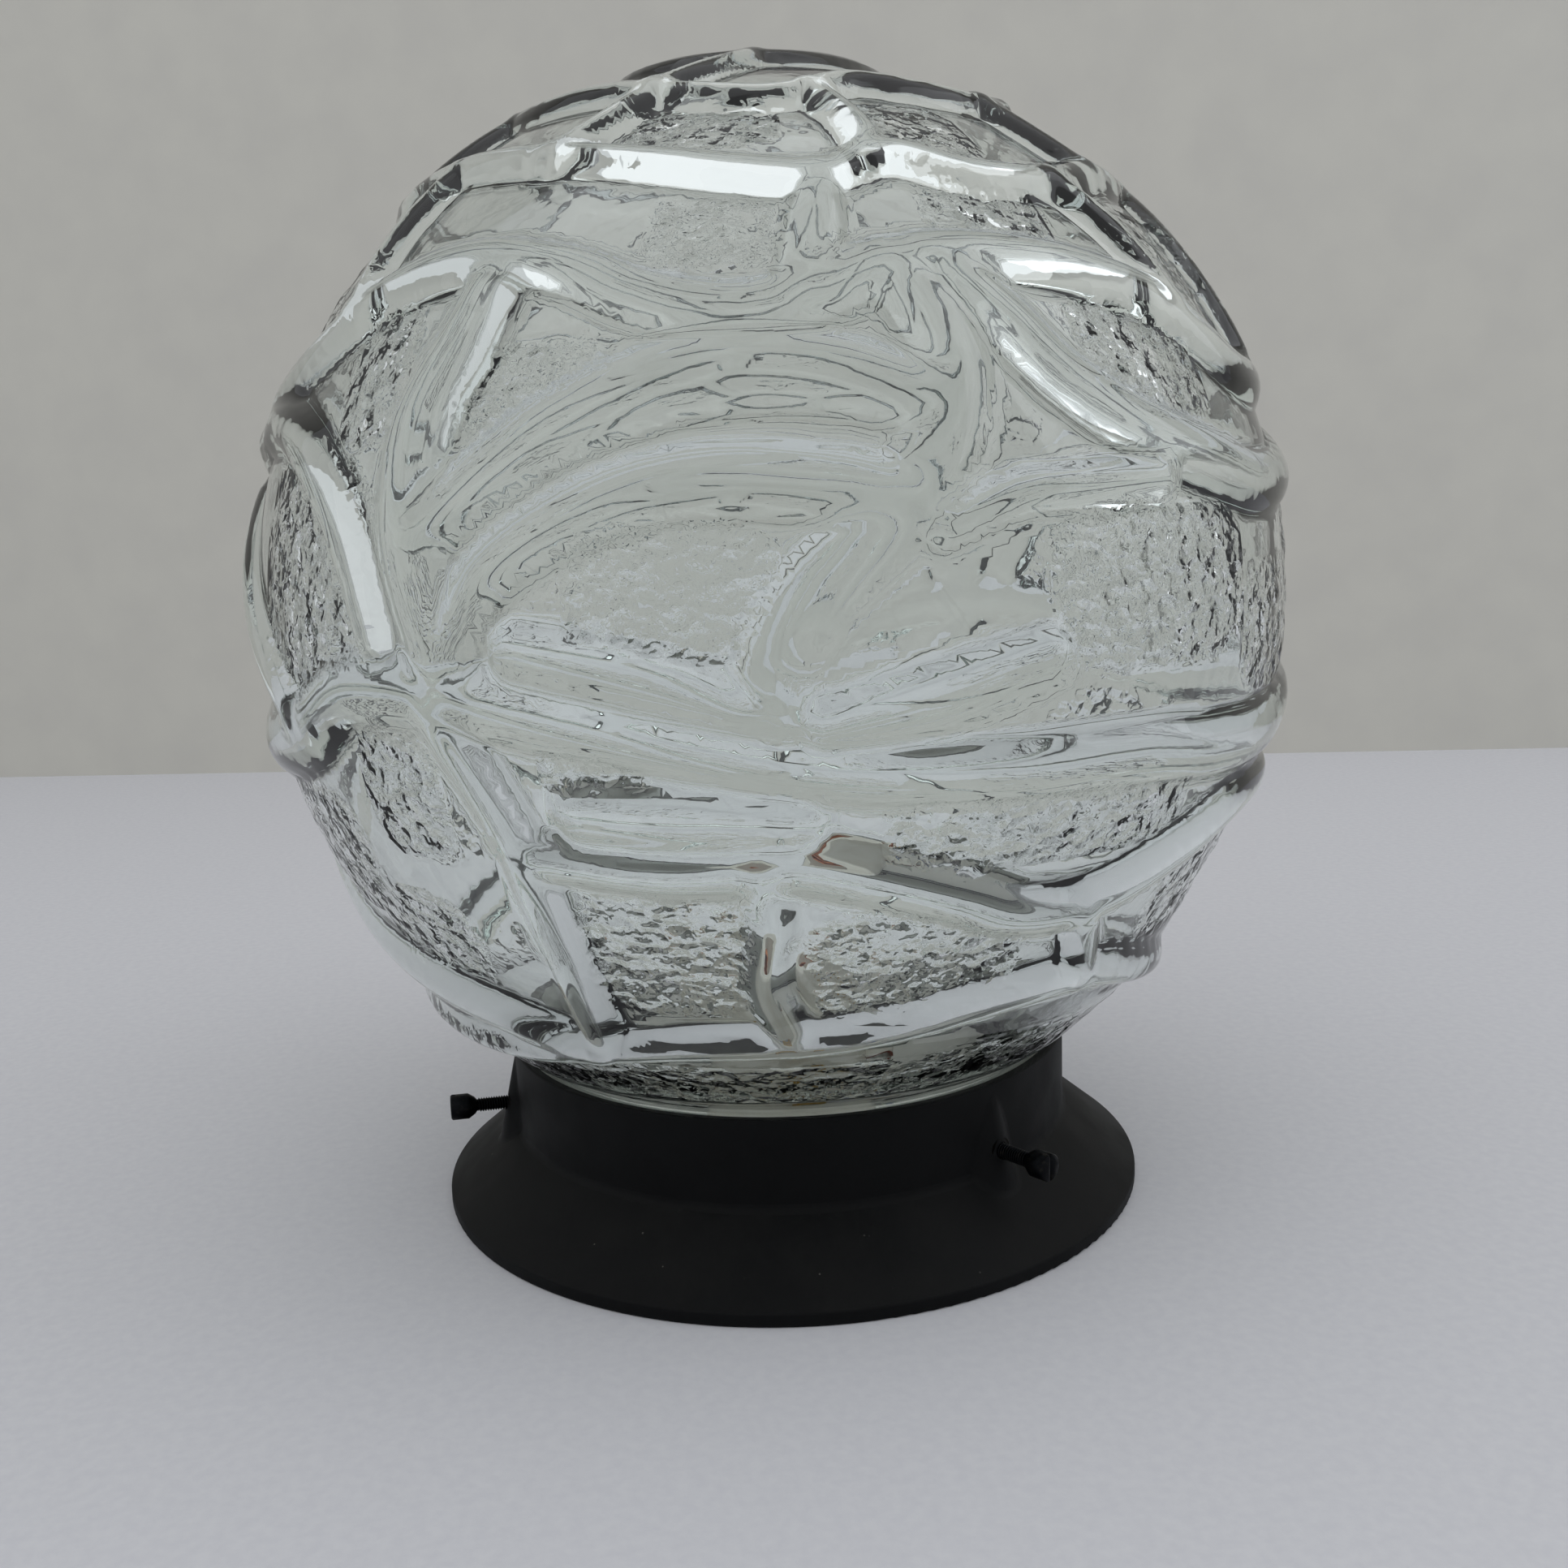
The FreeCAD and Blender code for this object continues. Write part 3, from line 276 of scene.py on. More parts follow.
shell_low, shell_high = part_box("socket_shell")
shell = bmesh.new()
turns = math.ceil((shell_high.z - shell_low.z) / SHELL_PITCH) + 2
wave = [
    (SHELL_MIDDLE_R + SHELL_WAVE * math.cos(math.tau * i / WAVE_STEPS), 0,
     shell_low.z + SHELL_PITCH * (i / WAVE_STEPS - 1))
    for i in range(WAVE_STEPS + 1)
]
bmesh.ops.spin(
    shell, geom=chain(shell, wave), cent=(0, 0, 0), axis=Z_AXIS, angle=math.tau * turns,
    steps=TURN_STEPS * turns, dvec=(0, 0, SHELL_PITCH / TURN_STEPS),
)
bmesh.ops.remove_doubles(shell, verts=shell.verts, dist=0.01 * MM)
for height, normal in ((shell_low.z + SHELL_SHEET, (0, 0, -1)), (shell_high.z, (0, 0, 1))):
    bmesh.ops.bisect_plane(
        shell, geom=shell.verts[:] + shell.edges[:] + shell.faces[:], plane_co=(0, 0, height),
        plane_no=normal, clear_outer=True,
    )
bmesh.ops.recalc_face_normals(shell, faces=shell.faces)
bmesh.ops.solidify(shell, geom=shell.faces[:], thickness=SHELL_SHEET)
foot_inner = SHELL_FOOT_R
foot_outer = shell_high.x
foot = [
    (foot_inner, 0, shell_low.z), (foot_outer, 0, shell_low.z),
    (foot_outer, 0, shell_low.z + SHELL_SHEET), (foot_inner, 0, shell_low.z + SHELL_SHEET),
]
full_spin(shell, chain(shell, foot, closed=True), TURN_STEPS)
bmesh.ops.recalc_face_normals(shell, faces=shell.faces)
new_piece("rolled_socket_shell", shell, bronze, "canopy", "brass", "socket_shell")

# ---------------------------------------------------------------- screws, washers and nuts
# Zinc-plated steel screws and nuts, a little dulled, with vulcanised fibre washers under the heads.

plated = tarnished_metal("zinc_plated_steel", "#c9cac8", "#9fa09a", 0.3)
dress(plated, "pillar_screws", "holder_screws", "holder_nuts", "block_clamps", "block_screw", "block_nut")

FIBRE_MM = 0.8


def plain_finish(name, first, second, size_mm, roughness, ior, bump_mm):
    """A dielectric in two near colours with a slight surface texture of the given size."""
    made, tree = new_material(name)
    place = add(tree, "ShaderNodeTexCoord").outputs["Object"]
    texture = blotches(tree, place, size_mm, detail=4.0)
    shader = add(
        tree, "ShaderNodeBsdfPrincipled",
        inputs={"IOR": ior},
        links={
            "Base Color": between(tree, remapped(tree, texture, 0.35, 0.65), first, second),
            "Roughness": remapped(tree, texture, 0.3, 0.7, roughness, roughness + 0.12),
            "Normal": add(
                tree, "ShaderNodeBump", inputs={"Strength": 0.5, "Distance": bump_mm * MM},
                links={"Height": texture},
            ).outputs[0],
        },
    )
    finish_material(tree, shader)
    return made


dress(plain_finish("vulcanised_fibre", "#7d3a26", "#65301f", FIBRE_MM, 0.6, 1.5, 0.05), "holder_washers")

# ---------------------------------------------------------------- connector block and leads
# An unglazed steatite block, dry-pressed, and two PVC-insulated leads that pass through rubber
# grommets in the canopy's floor. The glass stands on a flat ring of the same soft rubber.

PRESSED_MM = 1.2
PVC_MM = 6.0
RUBBER_MM = 1.5

steatite = plain_finish("unglazed_steatite", "#ddd5c3", "#cfc6b2", PRESSED_MM, 0.62, 1.55, 0.08)
dress(steatite, "connector_block")
dress(plain_finish("brown_pvc", "#5d3a26", "#553423", PVC_MM, 0.36, 1.53, 0.03), "lead_live")
dress(plain_finish("blue_pvc", "#2c4f86", "#284879", PVC_MM, 0.36, 1.53, 0.03), "lead_neutral")
rubber = plain_finish("moulded_rubber", "#1b1b1a", "#242322", RUBBER_MM, 0.62, 1.52, 0.06)
dress(rubber, "lead_grommets", "neck_ring")

# ---------------------------------------------------------------- glass globe
# Clear soda-lime glass, blown into a two-part iron mould that gives it broad smooth ribs over
# a pebbled ground, so the pattern comes twice round. Its neck ends in a bead that the screws hold.

GLOBE_MIDDLE = 162 * MM
GLOBE_R = 136 * MM
GLASS_WALL = 3.5 * MM
NECK_R = 70.5 * MM
NECK_WALL = 3.0 * MM
NECK_FOOT = 19 * MM
BEAD_R = 73.7 * MM
BEAD_TOP = 23 * MM
BEAD_ROUND = 1.4 * MM
SHOULDER_ROUND = 5 * MM
# the ball is fuller below this height in degrees, where the mould's foot spread it over the collar
HEEL_START = -30.0
HEEL_RUN = 16.0
HEEL_RISE = 4.2 * MM
COLUMNS = 400
OUTER_ROWS = 190
INNER_ROWS = 24

# the ground lies a little inside the mean surface, and the ribs stand above it
GROUND_DROP = 1.5 * MM
RIB_RISE = 3.7 * MM
RIB_SPREAD = 1.18
RIB_ROUNDNESS = 0.75
PEBBLE_RISE = 0.5 * MM
PEBBLE_R = 4.0 * MM
PEBBLE_SPACING = 7.0 * MM
INSIDE_WAVE = 0.45 * MM
INSIDE_WAVE_MM = 28.0

# the face of the mould pattern looks this way round, in degrees
PATTERN_FACE = -101.0
# below this height in degrees the shoulder is smooth, and above the other the pattern is full
SMOOTH_BELOW = -54.0
FULL_ABOVE = -49.0

# each rib: degrees to the right of the face, degrees above the equator, half width in millimetres
RIBS = [
    # belt round the equator, and the short bright bars that lie on it
    [(-90, -10, 7), (-70, -12, 7), (-54, -9, 7.5), (-42, -4, 7), (-28, -4.5, 7), (-17, -6.5, 6.5),
     (-8, -8.5, 6), (5, -11, 6), (20, -12, 6), (34, -12, 6.5), (48, -13, 7), (62, -13, 7),
     (76, -11, 7), (90, -10, 7)],
    [(-22, -0.5, 6), (-10, -3, 6.5), (-2, -5.5, 5)],
    [(4, -7, 5), (14, -5, 6.5), (24, -2.5, 6)],
    # upper belt
    [(-90, 25, 6), (-76, 23, 6), (-60, 27, 6), (-49, 32, 6), (-39, 35, 6), (-30, 35.5, 5.5),
     (-20, 33.5, 5.5), (-13, 30.5, 6), (-6, 28.5, 6.5), (-1, 28, 7), (4, 29, 7), (8.5, 31, 6.5),
     (13, 32.5, 6.5), (19, 33.5, 6), (26, 33.5, 6), (36, 32.5, 6), (48, 29.5, 6.5), (59, 24, 6.5),
     (70, 23, 6.5), (90, 25, 6)],
    # swag that sinks and joins the foot belt of the next half, with a soft pillow over it
    [(-22, -19, 5), (-10, -20, 6), (0, -19.5, 6.5), (6, -20.5, 6.5), (17, -24, 6.5), (25, -27, 6.5),
     (35, -27, 6.5), (47, -23.5, 6.5), (60, -20, 6.5), (76, -20, 6), (90, -24, 6), (102, -30, 6),
     (114, -34, 6), (130, -37.5, 6), (143, -40, 6), (155, -42.5, 5.5)],
    [(-17, -14.5, 7), (-8, -15, 8), (1, -15.5, 7)],
    # foot belt
    [(-24, -42.5, 4.5), (-12, -41, 4.5), (3, -40.5, 4.5), (13, -39.5, 4.5), (27, -37.5, 5),
     (40, -37, 5), (56, -40, 5), (72, -43, 4.5), (90, -45, 4.5), (120, -46, 4.5), (140, -45, 4.5),
     (156, -42.5, 4.5)],
    # bow, the two arched ribbons across the face, and the stem that curls down to the belt
    [(-28.5, 32, 7), (-30, 27, 8), (-33, 20, 9), (-33.5, 12, 9), (-32, 6, 8.5), (-30, 0, 7.5),
     (-28.5, -4, 6.5)],
    [(-31, 10, 6.5), (-24, 15, 7.5), (-17, 19, 8), (-6, 22.5, 8.5), (5, 22.5, 8), (14, 20, 7)],
    [(-28, 1, 5.5), (-24, 7, 6), (-14, 12, 6.5), (-5, 13.5, 7), (4, 13, 7), (11, 12, 6.5)],
    [(13, 32, 7), (16.5, 26, 8), (17, 21, 8), (14.5, 15, 8), (9, 9, 7.5), (3.5, 4, 7.5),
     (0, -1, 7), (0.5, -6, 6)],
    # branch to the right, its twig, and the branch that comes in on the left
    [(20, 31, 6), (24, 27, 6.5), (29, 21.5, 6.5), (37, 17, 7), (47, 14, 7), (58, 12, 6.5),
     (72, 13, 6), (88, 17, 6), (105, 20, 6)],
    [(15, 9, 4.5), (22, 11.5, 4.5), (29, 12, 4.5), (38, 12.5, 4.5)],
    [(-75, 20, 6), (-64, 21.5, 6), (-54, 19, 6), (-46, 14, 6), (-41, 8, 5.5), (-38, 1, 5)],
    [(-82, 14, 5), (-72, 6, 5), (-62, -2, 5), (-54, -8, 5)],
    # props below the equator
    [(-31, -6, 6), (-27.5, -12, 5.5), (-25, -18, 5.5), (-24, -25, 5.5), (-23.5, -33, 5.5),
     (-22.5, -41, 5.5)],
    [(-2, -20, 5), (-1, -26, 4.5), (-2, -33, 4.5), (1, -40, 5)],
    [(33, -28, 5), (36, -33, 5), (38, -37, 5)],
    # collar belt, and the props down to the upper belt
    [(-90, 48, 5), (-70, 49, 5), (-52, 50, 5), (-40, 49.5, 5), (-26, 48, 4.5), (-14, 46, 4.5),
     (-3, 44, 5), (7, 43, 5), (13, 45, 5), (18, 46, 5), (28, 43.5, 5), (42, 44, 5), (56, 47, 5),
     (76, 48, 5), (90, 48, 5)],
    [(7, 43, 5), (6.5, 39, 5.5), (5.5, 35, 6), (4, 30, 6)],
    [(-50, 49, 5), (-52, 40, 5), (-51, 32, 5)],
    [(40, 44, 4.5), (46, 38, 4.5), (50, 30, 4.5)],
    [(75, 48, 4.5), (70, 38, 4.5), (72, 26, 4.5)],
    # crown belts and the props between them
    [(-90, 64, 4.5), (-60, 62, 4.5), (-32, 62, 4.5), (-9, 58, 4.5), (4, 57, 4.5), (19, 61, 4.5),
     (32, 60, 4.5), (50, 59, 4.5), (70, 62, 4.5), (90, 64, 4.5)],
    [(-30, 48, 4.5), (-24, 53, 4.5), (-18, 60, 4.5)],
    [(14, 45, 4.5), (14, 51, 4.5), (10, 58, 4.5)],
    [(55, 47, 4.5), (50, 53, 4.5), (48, 59, 4.5)],
    [(-75, 49, 4.5), (-66, 55, 4.5), (-64, 62, 4.5)],
    [(-90, 76, 4), (-45, 75, 4), (0, 76, 4), (45, 77, 4), (90, 76, 4)],
    [(-20, 60, 4), (-10, 68, 4), (0, 76, 4)],
    [(60, 60, 4), (75, 68, 4), (90, 76, 4)],
]

# a rib this far round in degrees, or further, doesn't touch the half in hand
HALF_REACH = 105
# two ribs that meet are blended with this power, where a high one keeps their crests level
RIB_BLEND = 5

# pebbled cells: degrees to the right of the face and above the equator, then half sizes
CELLS = [
    (-21, 21, 7.5, 5), (-8, 4, 9, 5.5), (-5, 36.5, 6.5, 4), (27, -17.5, 17, 4), (-16, -10.5, 5, 2),
    (38, 3, 13, 7), (41, 24, 9, 6), (-50, 6, 11, 11), (-42, 25, 4.5, 7), (-62, 35, 8, 5),
    (-8, 52, 11, 3.5), (23, 51.5, 10, 4.5), (-12, -30, 9, 7), (15, -32, 12, 6.5), (-38, -14, 5, 6),
    (27, 39, 8, 3.5), (62, -2, 10, 6), (78, 3, 11, 8), (-60, -22, 12, 7), (60, -30, 12, 6),
    (-45, -30, 9, 5), (85, 36, 11, 6), (62, 37, 8, 5), (0, -49, 95, 3.5),
]


def smooth_step(value):
    held = np.clip(value, 0, 1)
    return held * held * (3 - 2 * held)


def on_ball(right, above):
    """Unit vectors for angles in degrees to the right of the face and above the equator."""
    right, above = np.radians(right), np.radians(above)
    return np.stack([np.cos(above) * np.cos(right), np.cos(above) * np.sin(right), np.sin(above)], -1)


def smooth_run(points, steps=6):
    """A Catmull-Rom curve through the points, with this many steps to a span."""
    spots = np.array(points, float)
    padded = np.vstack([2 * spots[0] - spots[1], spots, 2 * spots[-1] - spots[-2]])
    t = np.linspace(0, 1, steps, endpoint=False)[:, None]
    spans = [
        0.5 * (2 * b + (c - a) * t + (2 * a - 5 * b + 4 * c - d) * t**2 + (3 * b - a - 3 * c + d) * t**3)
        for a, b, c, d in zip(padded, padded[1:], padded[2:], padded[3:])
    ]
    return np.vstack(spans + [spots[-1:]])


def rib_height(ball):
    """How far each point of one half stands in the ribs, from 0 on the ground to about 1 on a crest."""
    total = np.zeros(len(ball))
    for points in RIBS:
        run = smooth_run(points)
        for shift in (-180, 0, 180):
            moved = run + [shift, 0, 0]
            if moved[:, 0].min() > HALF_REACH or moved[:, 0].max() < -HALF_REACH:
                continue
            nearest = np.full(len(ball), 9.0)
            spots = on_ball(moved[:, 0], moved[:, 1])
            widths = moved[:, 2] * RIB_SPREAD * MM / GLOBE_R
            for a, b, wide_a, wide_b in zip(spots, spots[1:], widths, widths[1:]):
                middle = (a + b) / 2
                reach = np.linalg.norm(b - a) / 2 + max(wide_a, wide_b)
                close = np.nonzero(ball @ middle > 1 - reach**2)[0]
                if not len(close):
                    continue
                way = b - a
                t = np.clip((ball[close] - a) @ way / (way @ way), 0, 1)
                gap = np.linalg.norm(ball[close] - a - t[:, None] * way, axis=1)
                nearest[close] = np.minimum(nearest[close], gap / (wide_a + t * (wide_b - wide_a)))
            total += np.clip(1 - nearest**2, 0, None) ** (RIB_ROUNDNESS * RIB_BLEND)
    return total ** (1 / RIB_BLEND)


def cell_share(right, above):
    """How strongly each point is pebbled, from 0 to 1."""
    share = np.zeros(len(right))
    for middle, height, half_right, half_up in CELLS:
        for shift in (-180, 0, 180):
            off = ((right - middle - shift) / half_right) ** 4 + ((above - height) / half_up) ** 4
            share = np.maximum(share, smooth_step((1.25 - off) / 0.5))
    return share


def arc(middle, radius, start, stop, steps):
    """Points of an arc in the XZ plane, by its angles in degrees from +X towards +Z."""
    turns = np.radians(np.linspace(start, stop, steps + 1))
    return [(middle[0] + radius * math.cos(turn), 0, middle[1] + radius * math.sin(turn)) for turn in turns]


def ball_r(radius, above):
    """The ball's radius at a height in degrees, fuller at its heel."""
    return radius + HEEL_RISE * smooth_step((HEEL_START - above) / HEEL_RUN)


def ball_run(radius, start, stop, steps):
    """Points down or up the ball's side, by their heights in degrees."""
    return [
        (ball_r(radius, angle) * math.cos(math.radians(angle)), 0,
         GLOBE_MIDDLE + ball_r(radius, angle) * math.sin(math.radians(angle)))
        for angle in np.linspace(start, stop, steps + 1)
    ]


inner_round = SHOULDER_ROUND + NECK_WALL
inner_r = GLOBE_R - GLASS_WALL
fillet_r = NECK_R + SHOULDER_ROUND
outer_drop = math.sqrt((GLOBE_R + HEEL_RISE + SHOULDER_ROUND) ** 2 - fillet_r**2)
outer_turn = math.degrees(math.atan2(outer_drop, fillet_r))
inner_drop = math.sqrt((inner_r + HEEL_RISE + inner_round) ** 2 - fillet_r**2)
inner_turn = math.degrees(math.atan2(inner_drop, fillet_r))
bead_middle = BEAD_R - BEAD_ROUND
outline = (
    ball_run(GLOBE_R, 90, -outer_turn, OUTER_ROWS)[:-1]
    + arc((fillet_r, GLOBE_MIDDLE - outer_drop), SHOULDER_ROUND, 180 - outer_turn, 180, 4)
    + arc((NECK_R + BEAD_ROUND, BEAD_TOP + BEAD_ROUND), BEAD_ROUND, 180, 270, 3)
    + arc((bead_middle, BEAD_TOP - BEAD_ROUND), BEAD_ROUND, 90, 0, 3)
    + arc((bead_middle, NECK_FOOT + BEAD_ROUND), BEAD_ROUND, 0, -90, 3)
    + [(NECK_R - NECK_WALL, 0, NECK_FOOT)]
    + arc((fillet_r, GLOBE_MIDDLE - inner_drop), inner_round, 180, 180 - inner_turn, 4)
    + ball_run(inner_r, -inner_turn, 90, INNER_ROWS)[1:]
)
outline[0] = (0, 0, GLOBE_MIDDLE + GLOBE_R)
outline[-1] = (0, 0, GLOBE_MIDDLE + inner_r)
glass = bmesh.new()
full_spin(glass, chain(glass, outline), COLUMNS)
bmesh.ops.remove_doubles(glass, verts=glass.verts, dist=0.02 * MM)
bmesh.ops.recalc_face_normals(glass, faces=glass.faces)

glass.verts.ensure_lookup_table()
spots = np.array([vert.co[:] for vert in glass.verts])
from_middle = spots - (0, 0, GLOBE_MIDDLE)
distance = np.linalg.norm(from_middle, axis=1)
ball = from_middle / distance[:, None]
above = np.degrees(np.arcsin(np.clip(ball[:, 2], -1, 1)))
right = (np.degrees(np.arctan2(ball[:, 1], ball[:, 0])) - PATTERN_FACE + 90) % 180 - 90
ball = on_ball(right, above)
outside = abs(distance - ball_r(GLOBE_R, above)) < 0.01 * MM
strength = smooth_step((above - SMOOTH_BELOW) / (FULL_ABOVE - SMOOTH_BELOW))

ribs = np.zeros(len(spots))
ribs[outside] = rib_height(ball[outside])
pebbled = np.where(outside, cell_share(right, above) * np.clip(1 - 1.6 * ribs, 0, 1), 0)
pebbles = np.zeros(len(spots))
for i in np.nonzero(pebbled > 0.02)[0]:
    gaps = noise.voronoi(Vector(spots[i] / PEBBLE_SPACING))[0]
    pebbles[i] = max(0.0, 1 - (gaps[0] * PEBBLE_SPACING / PEBBLE_R) ** 2)
rise = strength * (RIB_RISE * ribs + PEBBLE_RISE * pebbled * pebbles - GROUND_DROP)
inside = abs(distance - ball_r(inner_r, above)) < 0.01 * MM
for i in np.nonzero(inside & (above > FULL_ABOVE))[0]:
    rise[i] = INSIDE_WAVE * noise.noise(Vector(spots[i] / (INSIDE_WAVE_MM * MM)))
moved = spots + from_middle / distance[:, None] * np.where(outside | inside, rise, 0)[:, None]
for vert, spot in zip(glass.verts, moved):
    vert.co = spot

# clear soda-lime glass: colourless with a faint green edge, fire-polished, slightly rippled
CHILL_MM = 9.0
CHILL_DEPTH = 0.12 * MM
PIT_MM = 4.2
PIT_WARP_MM = 5.0
PIT_DEPTH = 1.4 * MM
PATCH_MM = 9.0

soda_glass, tree = new_material("clear_soda_lime_glass")
place = add(tree, "ShaderNodeTexCoord").outputs["Object"]
chill = blotches(tree, place, CHILL_MM, detail=2.0)
warp = add(tree, "ShaderNodeTexNoise", links={"Vector": place}, inputs={"Scale": 1 / (PIT_WARP_MM * MM)})
shifted = add(
    tree, "ShaderNodeVectorMath", operation="MULTIPLY_ADD", links={0: warp.outputs["Color"], 2: place},
    inputs={1: (PIT_WARP_MM * MM,) * 3},
).outputs[0]
flattened = add(tree, "ShaderNodeMapping", links={"Vector": shifted}, inputs={"Scale": (0.8, 0.8, 1.25)})
pits = add(
    tree, "ShaderNodeTexVoronoi", links={"Vector": flattened.outputs[0]},
    inputs={"Scale": 1 / (PIT_MM * MM)},
).outputs["Distance"]
pebble_mask = add(tree, "ShaderNodeAttribute", attribute_name="pebbled").outputs["Fac"]
patchy = remapped(tree, blotches(tree, place, PATCH_MM, seed=5.0), 0.38, 0.55, 0.15, 1.0)
pit_share = add(tree, "ShaderNodeMath", operation="MULTIPLY", links={0: patchy, 1: pebble_mask}).outputs[0]
masked = add(tree, "ShaderNodeMath", operation="MULTIPLY", links={0: pits, 1: pit_share}).outputs[0]
long_wave = add(
    tree, "ShaderNodeBump", inputs={"Strength": 0.5, "Distance": CHILL_DEPTH}, links={"Height": chill}
)
short_wave = add(
    tree, "ShaderNodeBump", inputs={"Strength": 1.0, "Distance": PIT_DEPTH}, invert=True,
    links={"Height": masked, "Normal": long_wave.outputs[0]},
)
shader = add(
    tree, "ShaderNodeBsdfPrincipled",
    inputs={
        "Base Color": linear("#fbfefd"), "Roughness": 0.01, "IOR": 1.52, "Transmission Weight": 1.0,
    },
    links={"Normal": short_wave.outputs[0]},
)
tint = add(tree, "ShaderNodeVolumeAbsorption", inputs={"Color": linear("#cfe6dd"), "Density": 12.0})
finish_material(tree, shader, volume=tint)
globe = new_piece("ribbed_glass_globe", glass, soda_glass, "globe", "clear_glass", "glass_globe")
mask = globe.data.attributes.new("pebbled", "FLOAT", "POINT")
mask.data.foreach_set("value", pebbled.astype(np.float32))

# ---------------------------------------------------------------- thumbscrews
# Three M4 steel screws, turned, threaded and chemically blacked, with a slotted round head. A soft
# nylon tip snaps over each nose, so that the screw doesn't bruise the glass.

SHANK_R = 1.95 * MM
THREAD_ROOT_R = 1.56 * MM
THREAD_SUNK_R = THREAD_ROOT_R - 0.05 * MM
THREAD_PITCH = 0.7 * MM
THREAD_START = 77.95 * MM
THREAD_END = 89.4 * MM
THREAD_FOOT = 0.31 * MM
THREAD_CREST = 0.05 * MM
THREAD_STEPS = 28
WEAR_MM = 1.6
SCREW_AZIMUTHS = {"left": 180, "front": 300, "rear": 60}

blacked, tree = new_material("chemically_blacked_steel")
place = add(tree, "ShaderNodeTexCoord").outputs["Object"]
wear = blotches(tree, place, WEAR_MM, detail=5.0)
shader = add(
    tree, "ShaderNodeBsdfPrincipled",
    inputs={"Metallic": 1.0},
    links={
        "Base Color": between(tree, remapped(tree, wear, 0.55, 0.75), "#17181a", "#35332f"),
        "Roughness": remapped(tree, wear, 0.3, 0.7, 0.42, 0.6),
        "Normal": add(
            tree, "ShaderNodeBump", inputs={"Strength": 0.3, "Distance": 0.04 * MM}, links={"Height": wear}
        ).outputs[0],
    },
)
finish_material(tree, shader)
nylon = plain_finish("soft_nylon", "#dcd9cd", "#d2cec0", 2.0, 0.4, 1.53, 0.02)

for side, azimuth in SCREW_AZIMUTHS.items():
    node = f"thumbscrew_{side}"
    low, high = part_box(node)
    aim = Matrix.Translation((0, 0, (low.z + high.z) / 2)) @ Matrix.Rotation(math.radians(azimuth), 4, "Z")
    screw = bmesh.new()
    screw.from_mesh(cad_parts[node].data)
    bmesh.ops.remove_doubles(screw, verts=screw.verts, dist=0.002 * MM)
    bmesh.ops.transform(screw, matrix=aim.inverted(), verts=screw.verts)
    for vert in screw.verts:
        off_axis = Vector((0, vert.co.y, vert.co.z))
        on_shank = THREAD_START - 0.01 * MM < vert.co.x < THREAD_END + 0.01 * MM
        if on_shank and abs(off_axis.length - SHANK_R) < 0.02 * MM:
            off_axis *= THREAD_ROOT_R / off_axis.length
            vert.co = (vert.co.x, off_axis.y, off_axis.z)
    ridge_start = THREAD_START + THREAD_FOOT
    ridge = [
        (ridge_start - THREAD_FOOT, 0, THREAD_SUNK_R), (ridge_start - THREAD_CREST, 0, SHANK_R),
        (ridge_start + THREAD_CREST, 0, SHANK_R), (ridge_start + THREAD_FOOT, 0, THREAD_SUNK_R),
    ]
    section = chain(screw, ridge, closed=True)
    cap = bmesh.ops.contextual_create(screw, geom=section[:4])["faces"]
    turns = (THREAD_END - THREAD_START - 2 * THREAD_FOOT) / THREAD_PITCH
    steps = round(turns * THREAD_STEPS)
    bmesh.ops.spin(
        screw, geom=section + cap, cent=(0, 0, 0), axis=(1, 0, 0), angle=turns * math.tau, steps=steps,
        dvec=(turns * THREAD_PITCH / steps, 0, 0),
    )
    bmesh.ops.recalc_face_normals(screw, faces=screw.faces)
    bmesh.ops.transform(screw, matrix=aim, verts=screw.verts)
    new_piece(f"blacked_screw_{side}", screw, blacked, f"screw_{side}", "blackened_screw", node)
    dress(nylon, f"screw_tip_{side}")

# ---------------------------------------------------------------- floor, wall, light and camera
# A pale cloth-covered table, a pale wall behind it, and soft light from large panels overhead.

CAMERA_PLACE = Vector((-0.0817, -0.4273, 0.188))
CAMERA_HEADING = -11.0
CAMERA_PITCH = 10.03
CAMERA_ROLL = -2.05
WALL_DISTANCE = 0.72
WALL_TURN = -6.0


def plain_sheet(name, width, depth, place, turn, first, second, size_mm):
    """A flat rectangle of the stage, in a pale finish."""
    flat = bmesh.new()
    bmesh.ops.create_grid(flat, x_segments=1, y_segments=1, size=0.5)
    bmesh.ops.scale(flat, vec=(width, depth, 1), verts=flat.verts)
    bmesh.ops.transform(flat, matrix=Matrix.Translation(place) @ turn, verts=flat.verts)
    mesh = bpy.data.meshes.new(name)
    flat.to_mesh(mesh)
    flat.free()
    sheet = bpy.data.objects.new(name, mesh)
    bpy.context.scene.collection.objects.link(sheet)
    mesh.materials.append(plain_finish(f"{name}_finish", first, second, size_mm, 0.85, 1.45, 0.2))


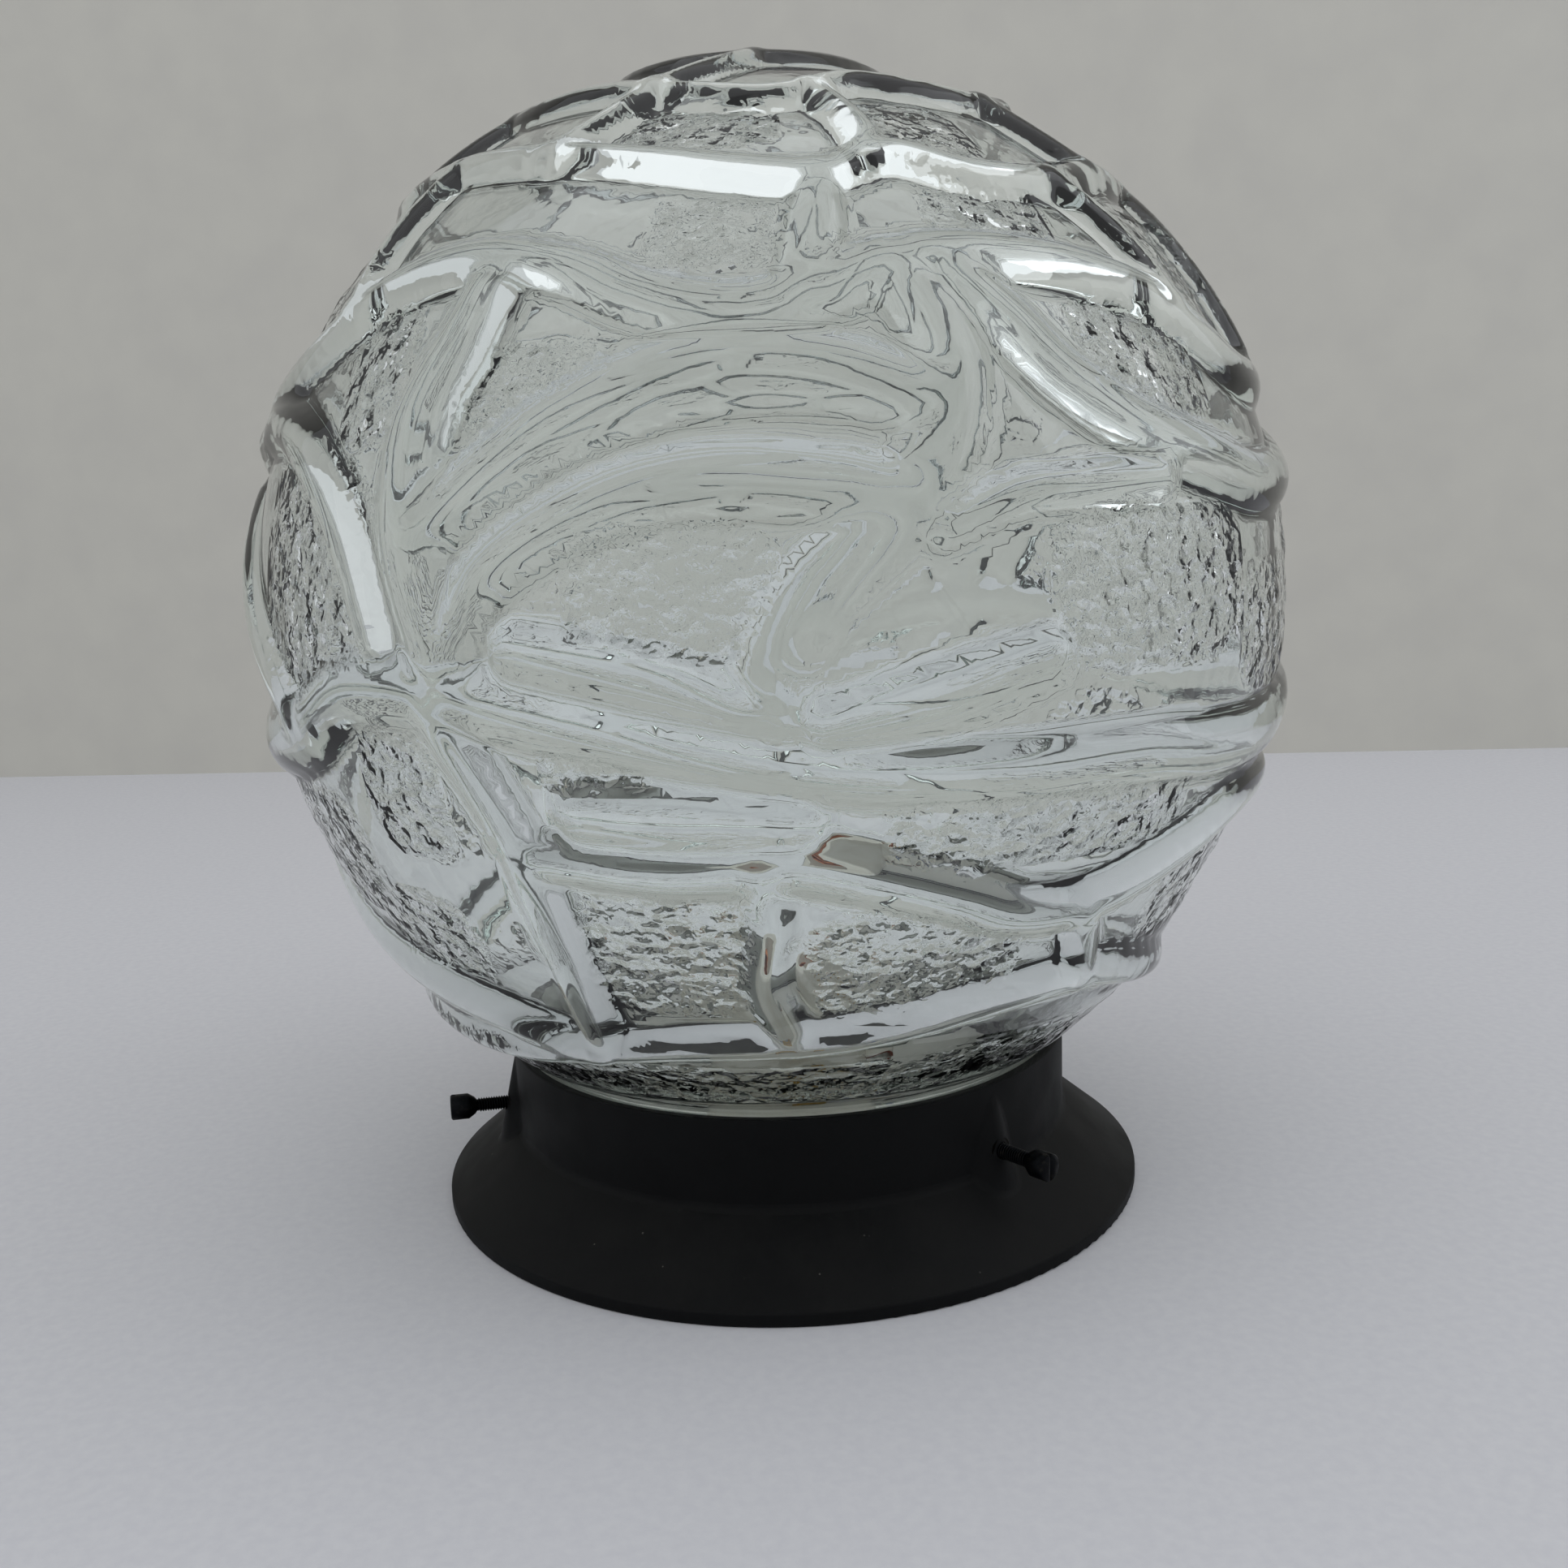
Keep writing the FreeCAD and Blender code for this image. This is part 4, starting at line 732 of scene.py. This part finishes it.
heading = Matrix.Rotation(math.radians(CAMERA_HEADING), 4, "Z")
wall_heading = heading @ Matrix.Rotation(math.radians(WALL_TURN), 4, "Z")
upright = wall_heading @ Matrix.Rotation(math.radians(90), 4, "X")
wall_middle = heading @ Vector((0, WALL_DISTANCE, 1.0))
plain_sheet("floor", 7.0, 7.0, (0, 0, 0), Matrix.Identity(4), "#d9d9dd", "#d4d4d9", 3.0)
plain_sheet("wall", 4.0, 2.4, wall_middle, upright, "#cccac2", "#c8c6bf", 40.0)


def soft_panel(name, place, size, watts, colour, target=(0, 0, 0.12)):
    """A large rectangular light that faces a point on the object."""
    light = bpy.data.lights.new(name, "AREA")
    light.shape = "RECTANGLE"
    light.size, light.size_y = size
    light.energy = watts
    light.color = linear(colour)[:3]
    panel = bpy.data.objects.new(name, light)
    bpy.context.scene.collection.objects.link(panel)
    panel.matrix_world = Matrix.Translation(place) @ (
        (Vector(place) - Vector(target)).to_track_quat("Z", "Y").to_matrix().to_4x4()
    )


soft_panel("overhead_panel", (0.1, -0.2, 1.6), (2.4, 2.0), 5.5, "#fbfcff")
soft_panel("left_panel", (-1.5, -0.7, 1.0), (1.2, 1.6), 2.0, "#ffffff")
soft_panel("right_panel", (1.5, -0.5, 1.1), (1.2, 1.6), 4.0, "#f6f9ff")

world = bpy.data.worlds.new("dim_room")
world.use_nodes = True
world.node_tree.nodes["Background"].inputs["Color"].default_value = linear("#c4c6c8")
world.node_tree.nodes["Background"].inputs["Strength"].default_value = 1.08
bpy.context.scene.world = world
bpy.context.scene.view_settings.view_transform = "Standard"

camera = bpy.data.cameras.new("camera")
camera.sensor_width = 36.0
camera.lens = 36.06
camera.clip_start = 0.01
viewer = bpy.data.objects.new("camera", camera)
bpy.context.scene.collection.objects.link(viewer)
viewer.matrix_world = (
    Matrix.Translation(CAMERA_PLACE) @ heading
    @ Matrix.Rotation(math.radians(90 - CAMERA_PITCH), 4, "X")
    @ Matrix.Rotation(math.radians(CAMERA_ROLL), 4, "Z")
)
bpy.context.scene.camera = viewer
